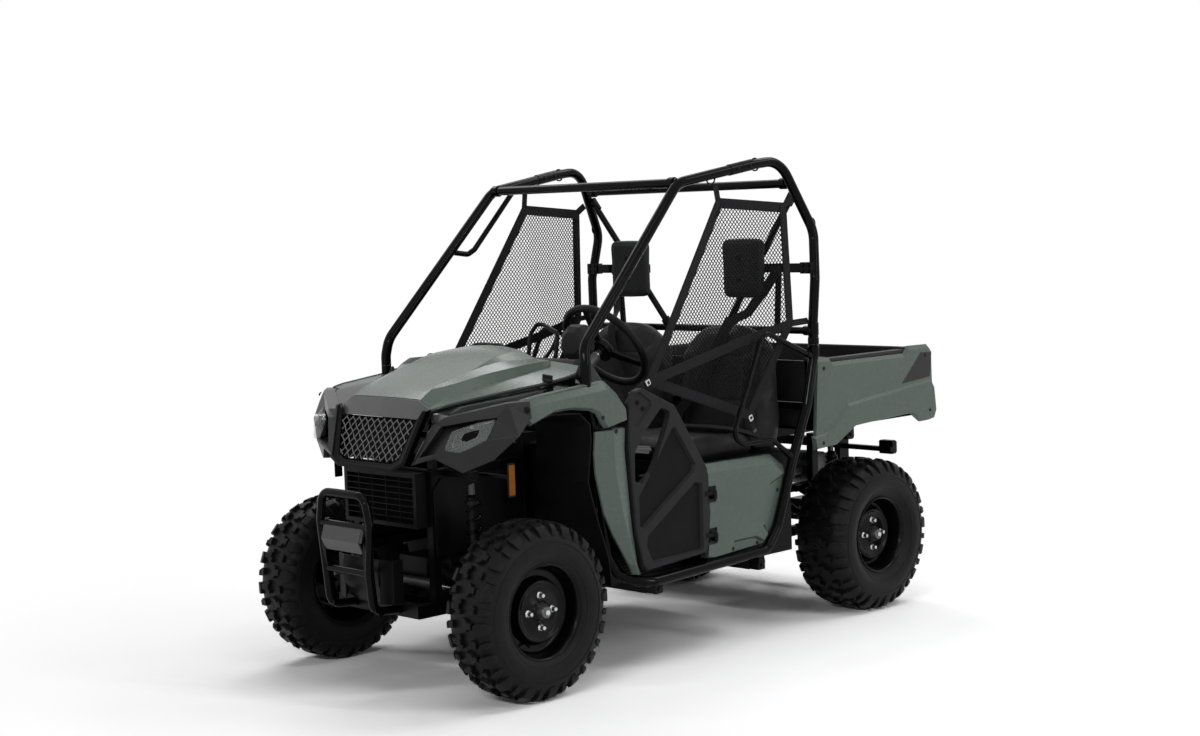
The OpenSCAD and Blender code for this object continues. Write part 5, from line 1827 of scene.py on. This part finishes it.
def swell(obj, pressure, cap, frames_run=20):
    """Blows a cushion up with cloth, and keeps each point within cap metres of its start."""
    mod = obj.modifiers.new("remesh", "REMESH")
    mod.mode, mod.voxel_size = "VOXEL", 0.007
    apply_modifiers(obj)
    start = [v.co.copy() for v in obj.data.vertices]
    scene = bpy.context.scene
    cloth = obj.modifiers.new("cloth", "CLOTH")
    s = cloth.settings
    s.use_pressure, s.uniform_pressure_force = True, pressure
    s.quality, s.mass = 5, 0.4
    s.tension_stiffness = s.compression_stiffness = 20
    s.shear_stiffness, s.bending_stiffness = 8, 2
    s.effector_weights.gravity = 0
    cloth.point_cache.frame_start, cloth.point_cache.frame_end = 1, frames_run
    for f in range(1, frames_run + 1):
        scene.frame_set(f)
    apply_modifiers(obj)
    for v, p in zip(obj.data.vertices, start):
        d = v.co - p
        if d.length > cap:
            v.co = p + d * (cap / d.length)
    scene.frame_set(1)


def relax(obj, rounds, factor=0.5):
    """Evens the surface out."""
    mod = obj.modifiers.new("smooth", "SMOOTH")
    mod.iterations, mod.factor = rounds, factor
    apply_modifiers(obj)


def press_seams(obj, lines, depth, width):
    """Sinks the skin along seam lines; a line gives the distance of a point from the seam."""
    for v in obj.data.vertices:
        p = v.co * 1000
        p.y -= MID_Y * 1000
        total = Vector()
        for distance, way in lines:
            d = distance(p)
            if abs(d) < width * 3:
                total += Vector(way) * (depth * math.exp(-(d / width) ** 2))
        v.co += total / 1000


def soft_piece(shape, name, mats, seams, depth, width, swell_cap, stands):
    """A stuffed piece: blown up with cloth, relaxed, and pressed in along its seams."""
    obj = bpy.data.objects.new(name, shape.mesh(name, mats))
    bpy.context.scene.collection.objects.link(obj)
    swell(obj, 4.0, swell_cap)
    relax(obj, 8)
    mod = obj.modifiers.new("finer", "SUBSURF")
    mod.levels = mod.render_levels = 1
    apply_modifiers(obj)
    press_seams(obj, seams, depth, width)
    obj.data.materials.clear()
    for m in mats:
        obj.data.materials.append(MATERIALS[m])
    obj.data.shade_smooth()
    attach(obj, "chassis")
    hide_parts(*stands)


def cushion_section(f):
    """The seat cushion at f: crowned, raised at its sides, and sloping down at its front."""
    x = 14 + 478 * f
    e = abs(2 * f - 1)
    pinch = 1 - 0.5 * max(0, (e - 0.94) / 0.06) ** 2
    lift = 12 * max(0, (e - 0.62) / 0.3) * (1 if e < 0.92 else (1 - e) / 0.08)
    top, low = 764 + lift, 692
    mid = (top + low) / 2
    outline = ((-52, low + 4), (-58, low + 28), (-54, top - 20), (-38, top - 6), (-10, top),
               (60, top + 1), (140, top - 3), (220, top - 6), (280, top - 6), (302, top - 14),
               (308, low + 30), (304, low + 3))
    return [(x, y, mid + (v - mid) * pinch) for y, v in outline]


BACKREST = [(320, 702), (333, 800), (345, 905), (357, 1010), (368, 1100), (376, 1146),
            (392, 1176), (414, 1189), (440, 1187), (458, 1166), (466, 1140), (470, 1040),
            (472, 900), (470, 820), (450, 745), (432, 702)]


def backrest_section(f):
    """The backrest at f: its top falls away to the sides, and its bolsters stand forward."""
    e = abs(2 * f - 1)
    x = 49 + 452 * f
    crown = 1 - 0.22 * e ** 3 - (0.18 * ((e - 0.9) / 0.1) ** 2 if e > 0.9 else 0)
    bolster = -16 * math.exp(-((e - 0.74) / 0.13) ** 2)
    out = []
    for i, (y, z) in enumerate(BACKREST):
        share = crown if z > 1040 else 1 - (1 - crown) * max(0, (z - 900) / 140)
        if i <= 5 and 760 < z < 1140:
            y += bolster
        if e > 0.93:
            y += (410 - y) * 0.35 * ((e - 0.93) / 0.07) ** 2
        out.append((x, y, 702 + (z - 702) * share))
    return out


def head_pad_body():
    """The head pad: a rounded block with its front and back edges drawn in."""
    rings = []
    for y, k in ((455, 12), (459, 3), (470, 0), (490, 0), (500, 3), (504, 12)):
        outline = [(214 + k, 1276 + k), (404 - k, 1276 + k), (410 - k, 1512 - k),
                   (210 + k, 1512 - k)]
        rings.append([(x, y, z) for x, z in rounded(outline, 24, 5)])
    return Shape().add(loft(rings))


def seam(distance, where, way):
    """A seam line: distance(p) from it where where(p) holds, and the way it is pressed."""
    return (lambda p: distance(p) if where(p) else 99), way


def cushion_seams():
    def on_top(p):
        return p.z > 740

    def between(p):
        return p.z > 745 and 112 < abs(p.x) < 394

    return [seam(lambda p: abs(p.x) - 112, on_top, (0, 0, -1)),
            seam(lambda p: abs(p.x) - 394, on_top, (0, 0, -1)),
            seam(lambda p: p.y - 66, between, (0, 0, -0.8)),
            seam(lambda p: p.y - 176, between, (0, 0, -0.8)),
            seam(lambda p: p.z - 728, lambda p: p.y < -30, (0, 0.7, 0))]


def backrest_seams():
    def on_front(p):
        return p.y < 400 and p.z < 1130

    def between(p):
        return p.y < 400 and 140 < abs(p.x) < 412

    return [seam(lambda p: abs(p.x) - 130 + (p.z - 900) * 0.06, on_front, (0, 1, 0)),
            seam(lambda p: abs(p.x) - 418 - (p.z - 900) * 0.06, on_front, (0, 1, 0)),
            seam(lambda p: p.z - 1060, between, (0, 0.8, 0)),
            seam(lambda p: p.z - 890, between, (0, 0.8, 0))]


def head_pad_seams():
    return [seam(lambda p: abs(abs(p.x) - 309) - 78,
                 lambda p: p.y < 466 and 1292 < p.z < 1498, (0, 1, 0)),
            seam(lambda p: abs(p.z - 1395) - 102,
                 lambda p: p.y < 466 and 228 < abs(p.x) < 390, (0, 1, 0))]


def make_seats():
    kinds = (("seat_cushion", cushion_body(cushion_section), "vinyl", cushion_seams(), 4.0,
              0.012, "seat_cushions"),
             ("seat_backrest", cushion_body(backrest_section), "vinyl", backrest_seams(), 4.0,
              0.012, "seat_backs"),
             ("head_pad", head_pad_body(), "foam", head_pad_seams(), 2.5, 0.003,
              "head_restraints"))
    for side_name in ("left", "right"):
        for kind, shape, skin, seams, depth, cap, stands in kinds:
            own = shape if side_name == "left" else shape.flipped()
            soft_piece(own, f"{side_name}_{kind}", [skin], seams, depth, 5.0, cap, [stands])


def make_seat_base():
    """The seat base's front panels and clips, and the buttons on the head pads."""
    base = Shape()
    for x0, x1 in ((-530, -20), (20, 530)):
        base.add(raised_panel(x0, x1, -54, -6, (330, 672), (344, 660), 12))
    for x in range(-500, 501, 200):
        base.add(*push_clip((x, -60, 640), (0, -1, 0), 8))
    for x in (304, -304):
        for z in (1436, 1350):
            base.add(lathe([[0.01, 1.5], [5, 1], [8, 2.5], [10.5, 1], [11, -8], [0.01, -8]],
                           (x, 450, z), (0, -1, 0), 28))
    base.piece("seat_base_trim", ["liner"], "chassis", "black_plastic", bevel=1.2, angle=30)


# ---- Cabin ----

COLUMN_TOP = Vector((310, -300, 1146))


def on_column(u, v, w):
    """u to the right, v up in the wheel's plane, w along the shaft towards the driver."""
    t = math.radians(35)
    axis = Vector((0, math.cos(t), math.sin(t)))
    up = Vector((0, -math.sin(t), math.cos(t)))
    return COLUMN_TOP + Vector((1, 0, 0)) * u + up * v + axis * w


def make_steering_wheel():
    """The padded rim, three tapered spokes, the hub and the shaft."""
    axis = on_column(0, 0, 1) - COLUMN_TOP
    grip = [(172 + 14 * math.cos(a), 14 * math.sin(a))
            for a in (2 * math.pi * k / 16 for k in range(16))]
    wheel_shape = Shape()
    wheel_shape.use(0).add(lathe(grip, COLUMN_TOP, axis, 72))
    # A station of a spoke: [distance from the hub, half width, lower side, upper side]
    stations = ((28, 17, -25, -12), (80, 14, -20, -9), (130, 12, -12, -3), (166, 13, -6, 4))
    for a in (math.radians(d) for d in (90, 210, 330)):
        c, s = math.cos(a), math.sin(a)
        wheel_shape.use(1).add(loft([[on_column(c * r - s * q, s * r + c * q, h)
                                      for q, h in oblong(-w, w, low, high)]
                                     for r, w, low, high in stations]))
    wheel_shape.use(1).add(lathe([[0.01, -38], [40, -38], [46, -34], [46, -14], [42, -8], [30, -5],
                                  [0.01, -4]], COLUMN_TOP, axis, 48))
    wheel_shape.use(2).add(rod(COLUMN_TOP, axis, 12, -200, -36))
    wheel_shape.piece("steering_wheel_rim", ["rubber", "satin", "steel"], "steering_wheel",
                      "black_rubber", ["steering_wheel"], bevel=1.2, angle=32)


def make_dash():
    """The dashboard's shell with its meter pod, cut out for the column and two shelves."""
    dash = Shape()
    profile = [(-562, 851), (-562, 1090), (-538, 1116), (-472, 1110), (-434, 1060), (-441, 960),
               (-470, 851)]
    ends = [(-562, 851), (-562, 1000), (-538, 1018), (-500, 1012), (-474, 990), (-462, 930),
            (-478, 851)]
    radii = [4, 8, 20, 26, 26, 20, 8]
    dash.add(loft([[(x, *q) for q in rounded(p, radii, 5)] for x, p in
                   ((-504, ends), (-410, profile), (400, profile), (504, ends))]))
    pod = [(262, 1146), (275, 1204), (312, 1234), (368, 1232), (402, 1196), (400, 1140), (362, 1104),
           (296, 1106)]
    dash.add(loft([[(x, y, z) for x, z in rounded(inset(pod, d), 16, 3)] for y, d in
                   ((-500, 26), (-486, 6), (-470, 0), (-446, 0), (-440, 4), (-440, 7))]))
    tunnel = Shape().add(tube([on_column(0, 0, -60), on_column(0, 0, -420)], 24.6, 28))
    far_shelf = Shape().add(block((-470, -450, 985), (-170, -400, 1050)))
    mid_shelf = Shape().add(block((-120, -452, 900), (150, -400, 1040)))
    dash.piece("dash_shell", ["plastic"], "chassis", "black_plastic", ["dashboard"], bevel=2.0,
               angle=30, cut=[tunnel, far_shelf, mid_shelf])


def make_dash_fittings():
    """Gauge, switches, the two grab handles and the selector lever."""
    extra = Shape()
    gauge = (333, -439, 1168)
    extra.use(0).add(lathe([[0.01, 0], [44, 0], [48, 4], [51, 4], [53, 0], [53, -6], [0.01, -6]],
                           gauge, (0, 1, 0), 48))
    extra.use(1).add(lathe([[0.01, 1.5], [42, 1.5], [42, 0.5], [0.01, 0.5]], gauge, (0, 1, 0), 48))
    for x in range(-96, 61, 52):
        extra.use(2).add(along_y(rounded(oblong(x, x + 30, 936, 978), 3), -450, -438))
    extra.use(0).add(tube(bent([(64, -460, 1090), (66, -440, 1196), (84, -425, 1228), (112, -420, 1226),
                                (196, -432, 1200), (208, -440, 1186), (212, -462, 1090)], 16, 6), 8, 14))
    extra.add(tube(bent([(150, -470, 1090), (186, -440, 1150), (200, -434, 1192)], 20, 6), 7, 12))
    extra.add(tube(bent([(-130, -460, 1090), (-140, -400, 1130), (-160, -385, 1140), (-300, -385, 1140),
                         (-322, -400, 1130), (-330, -460, 1090)], 24, 6), 9, 14))
    extra.add(tube([(40, -440, 960), (44, -400, 1000), (46, -372, 1036)], 6, 12))
    extra.add(lathe([[0.01, 0], [13, 2], [17, 14], [15, 30], [0.01, 36]], (46, -374, 1032),
                    (0.05, 0.55, 0.83), 24))
    extra.piece("dash_fittings", ["satin", "face", "plastic"], "chassis", "black_plastic", bevel=0.8,
                angle=34)


def make_floor_fittings():
    """Ribs of the floor mat, and the two pedals."""
    floor = Shape()
    for x in range(-552, 553, 48):
        rib = [(x - 12, 317.5), (x + 12, 317.5), (x + 9, 321), (x - 9, 321)]
        floor.use(0).add(along_y(rib, -325, -70))
    for x, w in ((250, 40), (360, 28)):
        floor.use(1).add(loft([[(x - w, y, z), (x + w, y, z), (x + w, y + 8, z + 4),
                                (x - w, y + 8, z + 4)] for y, z in ((-470, 420), (-500, 486))]))
        floor.add(tube([(x, -495, 455), (x, -530, 520), (x, -560, 620)], 7, 12))
    floor.piece("floor_fittings", ["liner", "satin"], "chassis", "black_plastic", bevel=1.0, angle=30)


# ---- Running gear ----

def add_shock(shape, low, high, r):
    """A coil-over shock from low to high: rod, body, spring, seats and eyes."""
    low, high = Vector(low), Vector(high)
    t = (high - low).normalized()
    n = (high - low).length

    def turned(profile, sides=28):
        """A closed profile of [radius, share of the length] that starts and ends on the axis."""
        return lathe([[r, n * share] for r, share in profile], low, t, sides)

    shape.use(0).add(rod(low, t, 10, 0, n * 0.42))
    shape.use(1).add(turned([[0.01, 0.36], [19, 0.36], [19, 0.84], [22, 0.86], [0.01, 0.9]]))
    shape.use(2).add(coil(low + t * n * 0.14, low + t * n * 0.80, r - 5, 4.6, 8))
    shape.use(1).add(turned([[0.01, 0.11], [r - 1, 0.11], [r - 1, 0.135], [0.01, 0.14]]))
    shape.add(turned([[0.01, 0.81], [r, 0.81], [r - 2, 0.835], [0.01, 0.84]]))
    for p in (low + t * 9, high - t * 9):
        shape.add(rod(p, (0, 1, 0), 15, -14, 14))
    shape.use(0).add(rod(low, t, 12, n * 0.86, n - 6, 20))


def make_shocks():
    shock = Shape()
    add_shock(shock, (352, -984, 272), (330, -985, 744), 28)
    add_shock(shock, (345, 985, 275), (300, 1002, 663), 27)
    shock.mirror()
    shock.piece("coil_shocks", ["plate", "satin", "gloss"], "chassis", "gloss_black", ["shocks"],
                angle=32)


def make_boots():
    """Ribbed boots on the half shafts."""
    boots = Shape()
    for y in (-927, 927):
        for p, q in (((84, y, 384), (172, y, 363)), ((388, y, 312), (322, y, 328))):
            p, q = Vector(p), Vector(q)
            t, n = (q - p).normalized(), (q - p).length
            ribs = [[0.01, 0]]
            for k in range(7):
                base = 30 - k * 2.3
                ribs += [[base, n * k / 7], [base + 3, n * (k + 0.35) / 7],
                         [base - 3, n * (k + 0.8) / 7]]
            ribs.append([0.01, n])
            boots.add(lathe(ribs, p, t, 28))
    boots.mirror()
    boots.piece("drive_boots", ["rubber"], "chassis", "black_rubber", angle=40)


def make_engine():
    """Crankcase, finned cylinder, its cover, the belt housing and a hose."""
    engine = Shape()
    case = [(-150, 540), (150, 540), (160, 850), (-160, 850)]
    engine.use(0).add(along_z(case, 318, 470))
    engine.add(along_z(rounded(oblong(-110, 110, 590, 790), 20), 470, 610))
    for k in range(7):
        z = 484 + k * 17
        engine.add(along_z(rounded(oblong(-118, 118, 580, 800), 16), z, z + 4))
    engine.add(along_z(rounded(oblong(-96, 96, 604, 776), 26), 612, 660))
    engine.use(1).add(lathe([[0.01, 0], [118, 0], [126, 8], [126, 34], [110, 46], [40, 52], [0.01, 52]],
                            (120, 690, 470), (1, 0, 0), 56))
    for k in range(10):
        a = 2 * math.pi * k / 10
        engine.use(2).add(*bolt((168, 690 + 117 * math.cos(a), 470 + 117 * math.sin(a)),
                                (1, 0, 0), 4, 4))
    engine.use(0).add(lathe([[0.01, 0], [86, 0], [92, 6], [92, 26], [60, 34], [0.01, 34]],
                            (-140, 680, 420), (-1, 0, 0), 48))
    engine.use(3).add(tube(bent([(60, 700, 660), (60, 760, 684), (0, 830, 680),
                                 (-120, 850, 600)], 40), 17, 16))
    engine.piece("engine_block", ["cast", "liner", "steel", "rubber"], "chassis", "cast_metal",
                 ["engine"], bevel=1.5, angle=30)


def make_muffler():
    """The muffler across the rear, its bands, and the pipes at its two ends."""
    pipe = Shape()
    pipe.add(lathe([[0.01, 0], [58, 0], [70, 8], [72, 14], [72, 336], [70, 342], [58, 350],
                    [0.01, 350]], (-175, 1110, 520), (1, 0, 0), 48))
    for x in (-90, 90):
        pipe.add(lathe([[70, 0], [73.5, 1], [73.5, 17], [70, 18]], (x - 9, 1110, 520), (1, 0, 0), 48))
    pipe.add(tube(bent([(100, 1060, 520), (100, 960, 520), (100, 860, 520)], 30), 22, 18))
    pipe.add(tube(bent([(-120, 1150, 560), (-120, 1188, 575), (-120, 1216, 560)], 14), 17, 18))
    pipe.piece("muffler", ["cast"], "chassis", "cast_metal", ["exhaust"], bevel=0.8, angle=36)


def make_tail_lamps():
    """A dark housing and a red lens at each rear corner."""
    tail = Shape()
    tail.use(0).add(along_y(rounded(oblong(394, 466, 588, 645), 8), 1211, 1236))
    lens = rounded(oblong(398, 462, 592, 641), 6)
    tail.use(1).add(loft([[(x, y, z) for x, z in inset(lens, k)]
                          for y, k in ((1236, 0), (1245, 0), (1250, 4))]))
    tail.mirror()
    tail.piece("tail_lamp_lenses", ["satin", "red"], "chassis", "red_lens", ["tail_lamps"], bevel=1.0,
               angle=30)


def make_side_markers():
    """An amber reflector in a dark holder beside each front wheel."""
    side = Shape()
    side.use(0).add(plate(rounded(oblong(-952, -918, 682, 798), 4, 3), 478.4, 482))
    side.use(1).add(plate(rounded(oblong(-948, -922, 688, 792), 3, 3), 482, 485, 1.5, deep=1.5))
    side.mirror()
    side.piece("side_markers", ["satin", "amber"], "chassis", "amber_lens", ["side_reflectors"],
               bevel=0.5, angle=30)


# CAD nodes that stay in view: [node, material, bevel]
KEPT = [("arch_liners", "liner", 1.5), ("skid_plate", "satin", 1.0), ("main_frame", "chassis", 1.5),
        ("seat_base", "liner", 3.0), ("steering_column", "cast", 1.0), ("floor_pan", "liner", 1.5),
        ("suspension_arms", "gloss", 1.0), ("left_knuckle", "cast", 1.5),
        ("right_knuckle", "cast", 1.5), ("tie_rods", "steel", 0.8),
        ("hitch_receiver", "satin", 1.5), ("final_drives", "satin", 3.0)]


# ---- Everything ----

bpy.context.scene.view_settings.view_transform = "Standard"
make_camera()
make_world()
make_floor()
make_lights()
wheel("front", -AXLE_Y, 203, 152, 164, 597, 618, 102, 16)
wheel("rear", AXLE_Y, 254, 140, 151, 571, 610, 98, 16)
for build in (make_cage, make_cage_bolts, make_sills, make_guard, make_hood, make_hood_knobs, make_hood_lip,
              make_fenders, make_fender_legs, make_hood_shelf, make_fender_clips, make_liners,
              make_bezels, make_bezel_bolts, make_lamp_bowls, make_lamp_covers, make_nose,
              make_grille_surround, make_grille_mesh, make_grille_back, make_radiator,
              make_nose_covers, make_doors, make_hips, make_hinge_blocks, make_hip_clips,
              make_bed_panels, make_bed_stripe, make_bed_liner, make_tailgate, make_gate_hinges,
              make_nets, make_belts, make_seats, make_seat_base, make_steering_wheel, make_dash,
              make_dash_fittings, make_floor_fittings, make_shocks, make_boots, make_engine,
              make_muffler, make_tail_lamps, make_side_markers):
    build()
for node, look, bevel in KEPT:
    keep(node, look, bevel)
